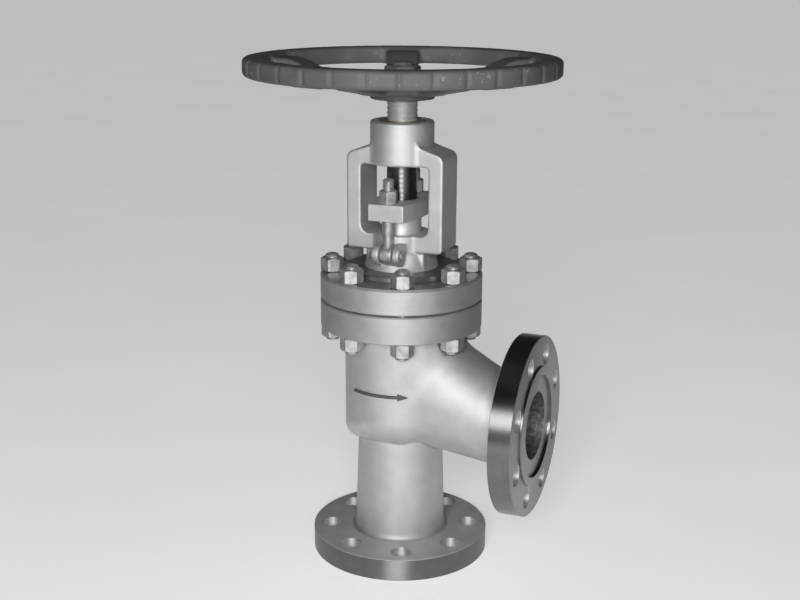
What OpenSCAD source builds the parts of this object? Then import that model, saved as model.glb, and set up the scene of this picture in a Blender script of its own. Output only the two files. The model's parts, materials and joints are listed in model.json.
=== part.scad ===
// Angle-pattern globe valve with flanged ends, a bolted bonnet with yoke and a rising handwheel.
// Origin at the centre of the inlet's raised face, +Z up the stem, +X out of the outlet, millimetres.

/* [Pipe ends] */
// Bore of the inlet and the outlet
bore_d = 100; // [92:1:102]
// Outside diameter of both end flanges
flange_d = 265; // [258:1:272]
// Thickness of both end flanges with the raised face
flange_t = 36; // [32:1:40]
// Bolt circle of both end flanges
flange_pcd = 210; // [208:1:216]
// Diameter of the flange bolt holes
flange_hole_d = 30; // [22:1:30]
// Number of bolts in each end flange
flange_bolts = 8; // [8:4:12]
// Diameter of the raised face
raised_d = 176; // [166:1:178]
// Height of the raised face
raised_h = 3; // [2:0.5:4]
// Diameter of the gasket recess in the raised face
recess_d = 150; // [130:1:156]
// Depth of the gasket recess
recess_h = 4.5; // [3:0.5:6]
// Height of the outlet axis above the inlet face
inlet_leg = 225; // [222:1:228]
// Distance from the stem axis to the outlet face
outlet_leg = 215; // [212:1:222]

/* [Body] */
// Outside radius of the inlet neck where it meets its flange
neck_foot_r = 68; // [66:1:72]
// Outside radius of the inlet neck under the bowl
neck_top_r = 63; // [62:0.5:65]
// Outside radius of the bowl
bowl_r = 83; // [82:0.5:83.5]
// Height where the bowl's straight wall starts
bowl_z = 199; // [197:1:201]
// Outside radius of the outlet neck where it meets its flange
outlet_neck_r = 65; // [63:0.5:68]
// Wall thickness of the bowl
wall = 17; // [15:1:18]
// Diameter of the body flange and the bonnet flange
joint_d = 238; // [236:1:244]
// Thickness of the body flange
joint_t = 40; // [36:1:42]
// Height of the body flange's top face
body_h = 398; // [396:1:400]

/* [Bonnet joint] */
// Thickness of the gasket between body and bonnet
gasket_t = 3; // [2:0.5:4]
// Thickness of the bonnet flange
bonnet_flange_t = 37; // [35:1:38]
// Diameter of the stud circle
stud_pcd = 203; // [202:1:206]
// Diameter of the studs
stud_d = 20; // [16:1:20]
// Number of studs
stud_count = 8; // [8:2:10]
// Width of the stud nuts across flats
stud_nut_af = 30; // [28:1:31]
// Height of the stud nuts
stud_nut_h = 20; // [16:1:21]

/* [Yoke] */
// Width over both yoke arms
yoke_w = 147; // [143:1:150]
// Thickness of a yoke arm, across the window
arm_t = 22; // [20:0.5:24]
// Depth of a yoke arm, through the window
arm_d = 63; // [56:1:66]
// Height of the window's lower edge
window_low = 497; // [495:1:499]
// Height of the window's upper edge
window_high = 597; // [594:1:600]
// Diameter of the boss round the stem nut
boss_d = 92; // [88:1:94]
// Height of the boss's top face
boss_top = 658.5; // [656:0.5:661]

/* [Stem and disc] */
// Outside diameter of the stem and its thread
stem_d = 44; // [44:0.1:44.2]
// Pitch of the stem thread
pitch = 7; // [6:1:8]
// Travel of the disc from closed to open
lift = 28; // [24:1:28]
// Height of the seat ring's top face
seat_top = 214; // [213:1:215]
// Height of the seat ring
seat_h = 18; // [16:1:20]
// Outside radius of the seat ring
seat_r = 58; // [57:0.5:59]

/* [Gland] */
// Side of the square packing
packing_s = 7; // [6.5:0.5:7]
// Number of packing rings
packing_n = 6; // [4:1:6]
// Distance of the eyebolts from the stem axis
eyebolt_y = 52; // [51:0.5:54]
// Diameter of the eyebolts
eyebolt_d = 16; // [14:1:16]
// Height of the eyebolt pins
pin_z = 472; // [471:1:474]
// Height of the gland flange's underside
gland_z = 521.5; // [520:0.5:523]
// Thickness of the gland flange
gland_t = 25; // [22:1:26]
// Length of the gland flange
gland_len = 128; // [124:1:130]

/* [Handwheel] */
// Outside diameter of the handwheel
wheel_d = 450; // [430:5:460]
// Height of the rim's top
wheel_top = 747.5; // [745:0.5:750]
// Height of the rim's section
rim_h = 27; // [25:1:29]
// Radial width of the rim's section
rim_w = 35; // [32:1:37]
// Number of spokes
spokes = 5; // [3:1:6]
// Width of a spoke
spoke_w = 48; // [40:1:50]
// Number of grip waves round the rim
grips = 32; // [24:4:36]
// Angle of the first spoke from the outlet
wheel_turn = 111.6; // [0:0.1:120]

/* [Hidden] */
$fn = 96;
eps = 0.5;
edge = 1.5;
slip = 0.05;
gap = 0.3;

bonnet_z = body_h + gasket_t;
flange_top = bonnet_z + bonnet_flange_t;
joint_r = joint_d / 2;
joint_under = body_h - joint_t;
stud_r = stud_pcd / 2;
stud_hole_d = stud_d + 2;
stud_tail = 6;
stud_first = 180 / stud_count;
nut_turns = [-8, 10, 20, 4, 3, -17, -30, 14];
cavity_r = bowl_r - wall;
bowl_round = 20;
saddle_r = 150;
saddle_low = 174;
elbow_x = 160;
elbow_rise = 24;
elbow_len = 150;

step_r = 82;
step_h = 9;
hub_foot_r = 54;
hub_top_r = 46;
hub_z = flange_top + step_h;
hub_h = 24;
box_r = eyebolt_y - eyebolt_d / 2 - 0.5;
spigot_r = cavity_r - 0.4;
spigot_h = 17;
spigot_bore_r = 46;
arm_out = yoke_w / 2;
arm_in = arm_out - arm_t;
foot_in = 19;
foot_z = hub_z + 26.4;
foot_round = 7;
root_out = 45;
root_back = 4;
corner_low = 12;
corner_high = 5;
shoulder_r = 12;
shoulder_z = window_high + 7;
shoulder_angle = 74;
crown_z = 634;
ear_in = 10;
ear_t = 11;
ear_r = 14.5;

stem_r = stem_d / 2;
bush_r = 34;
bush_h = 31;
box_floor = bonnet_z + bush_h;
packing_r = stem_r + packing_s;
washer_h = 5;
packing_z = box_floor + washer_h;
gland_low = packing_z + packing_n * packing_s;
gland_seat = 2.5;
gland_top = gland_z + gland_t;
gland_nut_af = 24;
gland_nut_h = 19;
eye_r = 13.5;
eye_w = 18;
pin_r = 7;
pin_head_r = 9.5;
pin_head_t = 3;
eyebolt_top = gland_top + 36;

stem_end_r = 20;
groove_r = 16;
disc_r = 57;
disc_low = seat_top - 9;
seat_cone = 6;
seat_slack = gap * sqrt(2);
disc_plate_z = disc_low + 35;
disc_boss_r = 38;
disc_top = disc_low + 63;
pocket_r = 26;
pocket_z = disc_low + 39;
stem_low = pocket_z + gap;
groove_z = stem_low + 5.7;
groove_h = 6;
disc_nut_af = 60;
disc_nut_h = 12;
collar_r = 28;
collar_h = 20;
collar_z = bonnet_z - lift - 0.8 - collar_h;

nut_r = 34;
nut_collar_r = 40;
nut_collar_h = 6;
screw_r = 4;
screw_h = 16;
screw_turn = 52;

hub_low = wheel_top - 58.5;
hub_high = hub_low + 29;
wheel_hub_r = 46;
web_r = 72;
web_low = hub_low + 10;
seat_shaft_r = 18;
key_w = 10;
key_out = 21.5;
key_in = 14;
washer_t = 3;
wheel_nut_af = 46;
wheel_nut_h = 15;
wheel_stud_r = 15;
thread_low = gland_top + 4.5;
thread_turns = floor((hub_low - 2 - thread_low) / pitch);
thread_root_r = stem_r - 3.75;
rim_in = wheel_d / 2 - rim_w;
rim_low = wheel_top - rim_h;
rim_round = 9;
grip_r = 10;
grip_deep = 2.2;

paint = [0.78, 0.78, 0.77];
steel = [0.62, 0.62, 0.63];
bright = [0.72, 0.72, 0.73];
wheel_grey = [0.36, 0.36, 0.36];
bronze = [0.66, 0.52, 0.32];
graphite = [0.2, 0.2, 0.2];

// Points along an arc of radius r about [x, y], from angle a to angle b
function arc(x, y, r, a, b, n = 5) =
    [for (i = [0:n]) [x + r * cos(a + (b - a) * i / n), y + r * sin(a + (b - a) * i / n)]];

module around(count, first = 0) {
    for (i = [0:count - 1]) rotate(first + i * 360 / count) children();
}

module tube(r_out, r_in, h) {
    difference() {
        cylinder(r = r_out, h = h);
        translate([0, 0, -eps]) cylinder(r = r_in, h = h + 2 * eps);
    }
}

// Hexagon nut on z = 0 with both faces chamfered, a flat across +X
module hex_nut(af, h, hole_r) {
    corner_r = af / 2 / cos(30);
    drop = (corner_r - af / 2) * 0.6;
    difference() {
        intersection() {
            rotate(30) cylinder(r = corner_r, h = h, $fn = 6);
            rotate_extrude() polygon([[0, 0], [af / 2, 0], [corner_r + 0.1, drop],
                [corner_r + 0.1, h - drop], [af / 2, h], [0, h]]);
        }
        translate([0, 0, -eps]) cylinder(r = hole_r, h = h + 2 * eps);
    }
}

module on_outlet() {
    translate([outlet_leg, 0, inlet_leg]) rotate([0, -90, 0]) children();
}

// Flange standing on its raised face at z = 0
module end_flange() {
    r = flange_d / 2;
    rotate_extrude() polygon([[0, 0], [raised_d / 2, 0], [raised_d / 2, raised_h],
        [r - edge, raised_h], [r, raised_h + edge], [r, flange_t - edge], [r - edge, flange_t],
        [0, flange_t]]);
}

// Gasket recess and bolt holes, the holes on both sides of the centre lines
module end_flange_cuts() {
    translate([0, 0, -eps]) cylinder(d = recess_d, h = recess_h + eps);
    around(flange_bolts, 180 / flange_bolts) translate([flange_pcd / 2, 0, -eps])
        cylinder(d = flange_hole_d, h = flange_t + 2 * eps);
}

module inlet_neck() {
    foot = 8;
    rotate_extrude() polygon([[0, flange_t - 1], [neck_foot_r + foot, flange_t - 1],
        [neck_foot_r + foot * 0.4, flange_t + foot * 0.4], [neck_foot_r, flange_t + foot],
        [neck_top_r, bowl_z], [0, bowl_z]]);
}

// Round bowl whose floor is arched across the outlet axis
module bowl() {
    intersection() {
        rotate_extrude() polygon(concat([[0, bowl_z - bowl_round]],
            arc(bowl_r - bowl_round, bowl_z, bowl_round, -90, 0),
            [[bowl_r, joint_under - 8], [bowl_r + 8, joint_under + 1], [0, joint_under + 1]]));
        translate([0, 0, saddle_low + saddle_r]) rotate([0, 90, 0])
            cylinder(r = saddle_r, h = 4 * bowl_r, center = true);
    }
}

// Upright oval slice across the outlet axis, from low to high
module shoulder_slice(x, low, high, half_w, thick = 1) {
    half_h = (high - low) / 2;
    translate([x, 0, low + half_h]) rotate([0, 90, 0]) linear_extrude(height = thick)
        scale([half_h, half_w]) circle(r = 1, $fn = 64);
}

// Shoulder that leads from the bowl down to the outlet flange
module outlet_neck() {
    sink = 4;
    throat_x = 20;
    throat_w = bowl_r - 12.5;
    crest_x = bowl_r - 1;
    crest_w = bowl_r - 13.5;
    crest_z = joint_under - 14;
    mouth_x = outlet_leg - flange_t - 1;
    mouth_z = inlet_leg - 3;
    hull() {
        shoulder_slice(throat_x, saddle_low + sink, joint_under + joint_t / 2, throat_w);
        shoulder_slice(crest_x, saddle_low - sink, crest_z, crest_w);
        shoulder_slice(mouth_x, mouth_z - outlet_neck_r, mouth_z + outlet_neck_r, outlet_neck_r, sink);
    }
}

// Room for the lower stud nuts and a spanner round them
module nut_pockets() {
    pocket = stud_nut_af * 0.607;
    deep = stud_nut_h + 8;
    around(stud_count, stud_first) translate([stud_r, 0, joint_under - deep])
        cylinder(r = pocket, h = deep + eps + 1);
}

module flow_passage() {
    translate([0, 0, -eps]) cylinder(d = bore_d, h = seat_top);
    translate([0, 0, seat_top - seat_h]) cylinder(r = seat_r, h = seat_h + eps);
    translate([0, 0, seat_top]) cylinder(r = cavity_r, h = body_h);
    on_outlet() translate([0, 0, -eps]) cylinder(d = bore_d, h = outlet_leg - elbow_x + 18);
    translate([elbow_x, 0, inlet_leg]) rotate([0, -90 + elbow_rise, 0])
        cylinder(d = bore_d - 1, h = elbow_len);
}

module valve_body() {
    color(paint) difference() {
        union() {
            end_flange();
            inlet_neck();
            difference() {
                union() {
                    bowl();
                    outlet_neck();
                }
                nut_pockets();
            }
            translate([0, 0, joint_under]) cylinder(r = joint_r, h = joint_t);
            on_outlet() end_flange();
        }
        flow_passage();
        end_flange_cuts();
        on_outlet() end_flange_cuts();
        around(stud_count, stud_first) translate([stud_r, 0, joint_under - eps])
            cylinder(d = stud_hole_d, h = joint_t + 2 * eps);
    }
}

module seat_ring() {
    bore_r = bore_d / 2;
    color(bright) translate([0, 0, seat_top - seat_h]) rotate_extrude()
        polygon([[bore_r, 0], [seat_r - slip, 0], [seat_r - slip, seat_h],
            [bore_r + seat_cone, seat_h], [bore_r, seat_h - seat_cone]]);
}

module disc() {
    cone_r = bore_d / 2 + seat_cone - (seat_top - disc_low) - seat_slack;
    cone_h = disc_r - cone_r;
    color(steel) difference() {
        rotate_extrude() polygon([[0, disc_low], [cone_r, disc_low], [disc_r, disc_low + cone_h],
            [disc_r, disc_plate_z - 4], [disc_r - 6, disc_plate_z], [disc_boss_r, disc_plate_z],
            [disc_boss_r, disc_top], [0, disc_top]]);
        translate([0, 0, pocket_z]) cylinder(r = pocket_r, h = disc_top);
    }
}

module disc_nut() {
    shank = disc_top - groove_z - groove_h - gap;
    color(steel) difference() {
        union() {
            translate([0, 0, disc_top + gap]) hex_nut(disc_nut_af, disc_nut_h, stem_end_r + gap);
            translate([0, 0, disc_top - shank]) cylinder(r = pocket_r - slip, h = shank + 1);
        }
        translate([0, 0, disc_top - shank - eps])
            cylinder(r = stem_end_r + gap, h = shank + disc_nut_h + 2);
    }
}

module disc_split_ring() {
    saw = 1;
    color(bright) for (side = [0, 180]) rotate(side) intersection() {
        translate([0, 0, groove_z + slip]) tube(pocket_r - gap - 1, groove_r + slip, groove_h - 2 * slip);
        translate([saw / 2, -pocket_r, groove_z]) cube([pocket_r, 2 * pocket_r, groove_h]);
    }
}

// One thread ridge above height z, as a closed ring in place of a turn of the screw
function ridge(z) = [[thread_root_r, z], [stem_r, z + pitch * 0.14], [stem_r, z + pitch * 0.5],
    [thread_root_r, z + pitch * 0.64]];

module stem() {
    collar_top = collar_z + collar_h;
    shank_low = disc_top + disc_nut_h + 4;
    wheel_stud_z = hub_high + washer_t;
    stem_top = wheel_stud_z + wheel_nut_h + 4;
    color(bright) difference() {
        rotate_extrude() polygon(concat(
            [[0, stem_low], [stem_end_r - 1, stem_low], [stem_end_r, stem_low + 1],
                [stem_end_r, groove_z], [groove_r, groove_z], [groove_r, groove_z + groove_h],
                [stem_end_r, groove_z + groove_h], [stem_end_r, shank_low], [stem_r, shank_low + 3],
                [stem_r, collar_z - 4], [collar_r, collar_z], [collar_r, collar_top],
                [stem_r, collar_top + collar_r - stem_r], [stem_r, thread_low - 6],
                [thread_root_r, thread_low - 3]],
            [for (i = [0:thread_turns - 1]) each ridge(thread_low + i * pitch)],
            [[thread_root_r, hub_low - 4], [stem_r - 1, hub_low - 3], [stem_r - 1, hub_low],
                [seat_shaft_r, hub_low], [seat_shaft_r, hub_high - 1], [wheel_stud_r, hub_high],
                [wheel_stud_r, stem_top - 2], [wheel_stud_r - 2, stem_top], [0, stem_top]]));
        rotate(wheel_turn) translate([key_in, -key_w / 2 - slip, hub_low + 2])
            cube([key_out, key_w + 2 * slip, 24]);
    }
}

module backseat_bush() {
    bore_r = stem_r + 0.08;
    color(bright) translate([0, 0, bonnet_z]) rotate_extrude()
        polygon([[collar_r + 1, 0], [bush_r - slip, 0], [bush_r - slip, bush_h], [bore_r, bush_h],
            [bore_r, collar_r + 1 - bore_r]]);
}

// Side view of one arm with its foot bar, from the window's edge outwards
module yoke_half() {
    boss_x = sqrt(pow(boss_d / 2, 2) - pow(arm_d / 2, 2));
    ramp_z = shoulder_z + shoulder_r + 4;
    polygon(concat(
        [[foot_in, foot_z]],
        arc(arm_out - foot_round, foot_z + foot_round, foot_round, -90, 0),
        arc(arm_out - shoulder_r, shoulder_z, shoulder_r, 0, shoulder_angle),
        [[boss_x + 17, ramp_z], [boss_x + 5.5, ramp_z + 4], [boss_x - 3, crown_z], [boss_x - 6, crown_z],
            [boss_x - 6, window_high]],
        arc(arm_in - corner_high, window_high - corner_high, corner_high, 90, 0),
        arc(arm_in - corner_low, window_low + corner_low, corner_low, 0, -90),
        [[foot_in, window_low]]));
}

// Web between a foot bar and the bonnet flange
module yoke_root() {
    translate([foot_in, -arm_d / 2 + root_back, hub_z - 2])
        cube([root_out - foot_in, arm_d - 2 * root_back, foot_z - hub_z + 3]);
}

module eyebolt_ears() {
    root_y = box_r - 14.3;
    reach = eyebolt_y - root_y;
    short = ear_r - 0.6;
    for (side = [0, 1]) mirror([0, side, 0]) for (x = [-ear_in - ear_t, ear_in]) {
        translate([x, eyebolt_y, pin_z]) rotate([0, 90, 0]) cylinder(r = ear_r, h = ear_t);
        translate([x, root_y, hub_z - 3]) cube([ear_t, reach + short, pin_z - hub_z + 3]);
        translate([x, root_y, hub_z]) cube([ear_t, reach, pin_z - hub_z + short]);
    }
}

// Pin holes, the scoops that the eyes swing in and the spot faces under the pin heads
module eyebolt_seats() {
    room = 1.2;
    out = ear_in + ear_t;
    for (side = [-1, 1]) translate([0, side * eyebolt_y, pin_z]) rotate([0, 90, 0]) {
        cylinder(r = pin_r, h = 4 * out, center = true);
        cylinder(r = eye_r + room, h = 2 * ear_in, center = true);
        translate([0, 0, -2 * out]) cylinder(r = pin_head_r + room, h = out);
    }
}

module bonnet() {
    color(paint) difference() {
        union() {
            rotate_extrude() polygon([[0, bonnet_z - spigot_h], [spigot_r, bonnet_z - spigot_h],
                [spigot_r, bonnet_z], [joint_r, bonnet_z], [joint_r, flange_top - edge],
                [joint_r - edge, flange_top], [step_r, flange_top], [step_r, hub_z - edge],
                [step_r - edge, hub_z], [hub_foot_r, hub_z], [hub_top_r, hub_z + hub_h],
                [box_r, hub_z + hub_h + 3], [box_r, window_low], [0, window_low]]);
            for (side = [0, 1]) mirror([side, 0, 0]) {
                rotate([90, 0, 0]) linear_extrude(arm_d, center = true) yoke_half();
                yoke_root();
            }
            translate([0, 0, window_high]) rotate_extrude() polygon([[0, 0], [boss_d / 2, 0],
                [boss_d / 2, boss_top - window_high - 4], [boss_d / 2 - 4, boss_top - window_high],
                [0, boss_top - window_high]]);
            eyebolt_ears();
        }
        translate([0, 0, bonnet_z - spigot_h - eps]) cylinder(r = spigot_bore_r, h = spigot_h + eps);
        translate([0, 0, bonnet_z - eps]) cylinder(r = bush_r, h = bush_h + eps);
        translate([0, 0, box_floor - eps]) cylinder(r = packing_r, h = window_low - box_floor + 1);
        translate([0, 0, window_high - eps]) cylinder(r = nut_collar_r, h = nut_collar_h + eps);
        translate([0, 0, window_high]) cylinder(r = nut_r, h = boss_top);
        stem_nut_screw_hole();
        eyebolt_seats();
        around(stud_count, stud_first) translate([stud_r, 0, bonnet_z - eps])
            cylinder(d = stud_hole_d, h = bonnet_flange_t + 2 * eps);
    }
}

module bonnet_gasket() {
    color(graphite) translate([0, 0, body_h]) tube(stud_r - stud_hole_d / 2 - 2, cavity_r + 2, gasket_t);
}

module bonnet_studs() {
    low = joint_under - stud_nut_h - stud_tail;
    high = flange_top + stud_nut_h + stud_tail;
    chamfer = 2;
    color(steel) around(stud_count, stud_first) translate([stud_r, 0, 0]) rotate_extrude()
        polygon([[0, low], [stud_d / 2 - chamfer, low], [stud_d / 2, low + chamfer],
            [stud_d / 2, high - chamfer], [stud_d / 2 - chamfer, high], [0, high]]);
}

module stud_nuts(z) {
    color(steel) for (i = [0:stud_count - 1]) {
        turn = stud_first + i * 360 / stud_count;
        rotate(turn) translate([stud_r, 0, z]) rotate(nut_turns[i % len(nut_turns)] - turn)
            hex_nut(stud_nut_af, stud_nut_h, stud_d / 2 + slip);
    }
}

module bonnet_nuts_upper() {
    stud_nuts(flange_top);
}

module bonnet_nuts_lower() {
    stud_nuts(joint_under - stud_nut_h);
}

module packing_washer() {
    color(bright) translate([0, 0, box_floor]) tube(packing_r - slip, stem_r + gap, washer_h);
}

module packing_rings() {
    color(graphite) for (i = [0:packing_n - 1]) translate([0, 0, packing_z + i * packing_s])
        tube(packing_r - slip, stem_r + gap, packing_s - slip);
}

module gland_bush() {
    color(bright) translate([0, 0, gland_low])
        tube(packing_r - 2 * slip, stem_r + 2 * gap, gland_z + gland_seat - gland_low);
}

module gland_flange() {
    end_w = 54;
    waist_w = 72;
    waist_len = 26;
    half = gland_len / 2;
    color(paint) difference() {
        translate([0, 0, gland_z]) linear_extrude(gland_t) polygon([[-end_w / 2, -half], [end_w / 2, -half],
            [waist_w / 2, -waist_len / 2], [waist_w / 2, waist_len / 2], [end_w / 2, half],
            [-end_w / 2, half], [-waist_w / 2, waist_len / 2], [-waist_w / 2, -waist_len / 2]]);
        translate([0, 0, gland_z - eps]) cylinder(r = packing_r, h = gland_seat + eps);
        translate([0, 0, gland_z]) cylinder(r = stem_r + 2, h = gland_t + eps);
        for (side = [-1, 1]) translate([0, side * eyebolt_y, gland_z - eps])
            cylinder(d = eyebolt_d + 2, h = gland_t + 2 * eps);
    }
}

module gland_eyebolts() {
    tip = 2;
    color(steel) for (side = [-1, 1]) translate([0, side * eyebolt_y, 0]) difference() {
        union() {
            translate([0, 0, pin_z]) rotate([0, 90, 0]) cylinder(r = eye_r, h = eye_w, center = true);
            rotate_extrude() polygon([[0, pin_z], [eyebolt_d / 2, pin_z], [eyebolt_d / 2, eyebolt_top - tip],
                [eyebolt_d / 2 - tip, eyebolt_top], [0, eyebolt_top]]);
        }
        translate([0, 0, pin_z]) rotate([0, 90, 0]) cylinder(r = pin_r, h = 2 * eye_w, center = true);
    }
}

module eyebolt_pins() {
    out = ear_in + ear_t;
    color(steel) for (side = [-1, 1]) translate([-out, side * eyebolt_y, pin_z]) rotate([0, 90, 0]) {
        cylinder(r = pin_r - slip, h = 2 * out + 3);
        translate([0, 0, -pin_head_t]) cylinder(r = pin_head_r, h = pin_head_t);
    }
}

module gland_nuts() {
    color(steel) for (side = [-1, 1]) translate([0, side * eyebolt_y, gland_top]) rotate(15)
        hex_nut(gland_nut_af, gland_nut_h, eyebolt_d / 2 + slip);
}

module stem_nut_screw_hole() {
    rotate(screw_turn) translate([nut_r, 0, boss_top - screw_h]) cylinder(r = screw_r, h = screw_h + eps);
}

module stem_nut() {
    color(bronze) difference() {
        union() {
            translate([0, 0, window_high]) cylinder(r = nut_collar_r - slip, h = nut_collar_h - slip);
            translate([0, 0, window_high]) cylinder(r = nut_r - slip, h = boss_top - window_high);
        }
        translate([0, 0, window_high - eps]) cylinder(r = stem_r + gap, h = boss_top);
        stem_nut_screw_hole();
    }
}

module stem_nut_screw() {
    socket_af = 4;
    color(graphite) rotate(screw_turn) translate([nut_r, 0, boss_top - screw_h]) difference() {
        cylinder(r = screw_r - slip, h = screw_h - 1);
        translate([0, 0, screw_h - 5]) cylinder(d = socket_af / cos(30), h = 5, $fn = 6);
    }
}

module rim() {
    out = wheel_d / 2;
    difference() {
        rotate_extrude() polygon(concat(
            arc(rim_in + rim_round, rim_low + rim_round, rim_round, 180, 270, 3),
            arc(out - rim_round, rim_low + rim_round, rim_round, 270, 360, 3),
            arc(out - rim_round, wheel_top - rim_round, rim_round, 0, 90, 3),
            arc(rim_in + rim_round, wheel_top - rim_round, rim_round, 90, 180, 3)));
        around(grips, 180 / grips) translate([out + grip_r - grip_deep, 0, rim_low - 1])
            cylinder(r = grip_r, h = rim_h + 2);
    }
}

// Dished web that the spokes are cut from, rising from the hub to the rim
module dish() {
    root_r = seat_shaft_r + 2;
    into_rim = rim_in + 8;
    under = [[rim_in - 70, web_low + 9], [rim_in - 30, rim_low - 2], [into_rim, rim_low + 2]];
    over = [[into_rim, wheel_top - 5], [rim_in - 20, wheel_top - 6], [rim_in - 46, wheel_top - 14],
        [rim_in - 63, wheel_top - 22], [rim_in - 90, hub_high + 0.5], [60, hub_high - 1]];
    rotate_extrude() polygon(concat([[root_r, web_low], [web_r - 4, web_low], [web_r, web_low + 3]],
        under, over, [[root_r, hub_high - 1]]));
}

module handwheel() {
    color(wheel_grey) rotate(wheel_turn) difference() {
        union() {
            rim();
            intersection() {
                dish();
                union() {
                    cylinder(r = web_r, h = wheel_top);
                    around(spokes) translate([0, -spoke_w / 2, 0]) cube([rim_in + 6, spoke_w, wheel_top]);
                }
            }
            translate([0, 0, hub_low]) cylinder(r = wheel_hub_r, h = hub_high - hub_low);
        }
        translate([0, 0, hub_low - eps]) cylinder(r = seat_shaft_r + slip, h = rim_h * 2);
        translate([0, -key_w / 2 - slip, hub_low - eps]) cube([key_out + gap, key_w + 2 * slip, rim_h * 2]);
    }
}

module handwheel_key() {
    color(steel) rotate(wheel_turn) translate([key_in + slip, -key_w / 2, hub_low + 2 + slip])
        cube([key_out - key_in, key_w, 24 - 2 * slip]);
}

module handwheel_washer() {
    color(steel) translate([0, 0, hub_high]) tube(wheel_nut_af / 2 + 4, wheel_stud_r + gap, washer_t);
}

module handwheel_nut() {
    color(steel) translate([0, 0, hub_high + washer_t]) rotate(wheel_turn)
        hex_nut(wheel_nut_af, wheel_nut_h, wheel_stud_r + slip);
}

valve_body();
seat_ring();
disc();
disc_nut();
disc_split_ring();
stem();
backseat_bush();
bonnet();
bonnet_gasket();
bonnet_studs();
bonnet_nuts_upper();
bonnet_nuts_lower();
packing_washer();
packing_rings();
gland_bush();
gland_flange();
gland_eyebolts();
eyebolt_pins();
gland_nuts();
stem_nut();
stem_nut_screw();
handwheel();
handwheel_key();
handwheel_washer();
handwheel_nut();
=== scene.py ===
# %% [markdown]
# # An angle globe valve, dressed in Blender
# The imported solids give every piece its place, its size and the body that it moves with. They stay
# as the frame, and this lesson lays the looks over them: castings with soft fillets, turned flanges,
# cut threads, paint and grease. Lengths are millimetres here and become metres when a mesh is made.

# %% Load the frame
import json
import math

import bpy
import numpy as np
from mathutils import Matrix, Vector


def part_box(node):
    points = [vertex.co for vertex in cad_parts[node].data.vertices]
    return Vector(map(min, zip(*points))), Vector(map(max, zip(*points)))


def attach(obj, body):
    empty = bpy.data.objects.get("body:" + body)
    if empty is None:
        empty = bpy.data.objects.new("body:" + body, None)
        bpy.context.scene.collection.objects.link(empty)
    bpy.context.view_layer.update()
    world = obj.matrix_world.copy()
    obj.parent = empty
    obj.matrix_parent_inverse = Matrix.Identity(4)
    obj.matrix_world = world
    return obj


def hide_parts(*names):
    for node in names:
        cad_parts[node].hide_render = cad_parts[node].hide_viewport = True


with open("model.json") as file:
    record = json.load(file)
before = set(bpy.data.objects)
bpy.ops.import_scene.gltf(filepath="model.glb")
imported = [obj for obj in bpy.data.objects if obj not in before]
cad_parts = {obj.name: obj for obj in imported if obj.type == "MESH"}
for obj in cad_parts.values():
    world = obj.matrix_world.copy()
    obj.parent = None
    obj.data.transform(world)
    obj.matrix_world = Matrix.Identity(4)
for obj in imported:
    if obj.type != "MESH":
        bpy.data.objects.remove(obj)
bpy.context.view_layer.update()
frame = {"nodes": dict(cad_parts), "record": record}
MM = 0.001

# %% [markdown]
# ## Sizes that the frame already knows
# A dressed piece has to land on its solid, so the driving sizes are read from the frame instead of
# being typed again: boxes give outside sizes and heights, and the mounts give the bolt circles.

# %% Read the driving sizes
def span(node):
    """Lowest and highest corner of a CAD node, in millimetres."""
    low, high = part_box(node)
    return np.array(low) / MM, np.array(high) / MM


mounts = {mount["name"]: mount for mount in frame["record"]["mounts"]}
body_low, body_high = span("valve_body")
stem_low, stem_high = span("stem")
stud_low, stud_high = span("bonnet_studs")
gland_low, gland_high = span("gland_flange")
wheel_low, wheel_high = span("handwheel")

FLANGE_R = -body_low[0]
OUTLET_X = body_high[0]
OUTLET_Z = mounts["outlet_bolts"]["pos_m"][2] / MM
BOLT_CIRCLE_R = mounts["inlet_bolts"]["dims"]["pcd_mm"] / 2
BOLT_HOLE_R = mounts["inlet_bolts"]["dims"]["hole_r_mm"]
BOLT_COUNT = mounts["inlet_bolts"]["dims"]["count"]
BODY_TOP = body_high[2]
JOINT_R = 119.0
BOSS_TOP = span("bonnet")[1][2]
WHEEL_R = 225.0
WHEEL_TOP = wheel_high[2]
print("end flange radius", round(FLANGE_R, 1), "outlet face at X", round(OUTLET_X, 1))

# %% [markdown]
# ## The camera
# The photograph was fitted with one pinhole camera: a 57 mm lens on a 36 mm sensor, standing 1.8 m
# from the stem, a little above the handwheel and looking 15 degrees down. The valve is turned so
# that its outlet points right and towards the viewer.

# %% Place the camera
scene = bpy.context.scene
scene.view_settings.view_transform = "Standard"
LENS_MM, SENSOR_MM = 57.26, 36.0
VIEW_TURN = math.radians(21.6)
VIEW_PITCH = math.radians(15.38)
VIEW_ROLL = math.radians(0.31)
VIEW_DISTANCE, VIEW_HEIGHT, VIEW_SHIFT = 1814.9, 891.5, -2.0

to_right = np.array([math.cos(VIEW_TURN), math.sin(VIEW_TURN)])
to_camera = np.array([math.sin(VIEW_TURN), -math.cos(VIEW_TURN)])
stand = to_right * VIEW_SHIFT + to_camera * VIEW_DISTANCE
camera = bpy.data.objects.new("camera", bpy.data.cameras.new("camera"))
camera.data.lens = LENS_MM
camera.data.sensor_width = SENSOR_MM
camera.data.sensor_fit = "HORIZONTAL"
camera.matrix_world = (
    Matrix.Translation((stand[0] * MM, stand[1] * MM, VIEW_HEIGHT * MM))
    @ Matrix.Rotation(VIEW_TURN, 4, "Z")
    @ Matrix.Rotation(math.pi / 2 - VIEW_PITCH, 4, "X")
    @ Matrix.Rotation(VIEW_ROLL, 4, "Z")
)
scene.collection.objects.link(camera)
scene.camera = camera
print("camera", [round(v, 3) for v in camera.location])

# %% [markdown]
# ## Colours and nodes
# Colours are written as sRGB hex values, the way that they are seen, and shaders want linear light,
# so one function turns one into the other. A second small function adds any shader node with its
# options and inputs, and every material below is written with it. A colour mix is linked by the
# numbers of its sockets, because several of them share a name.

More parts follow.
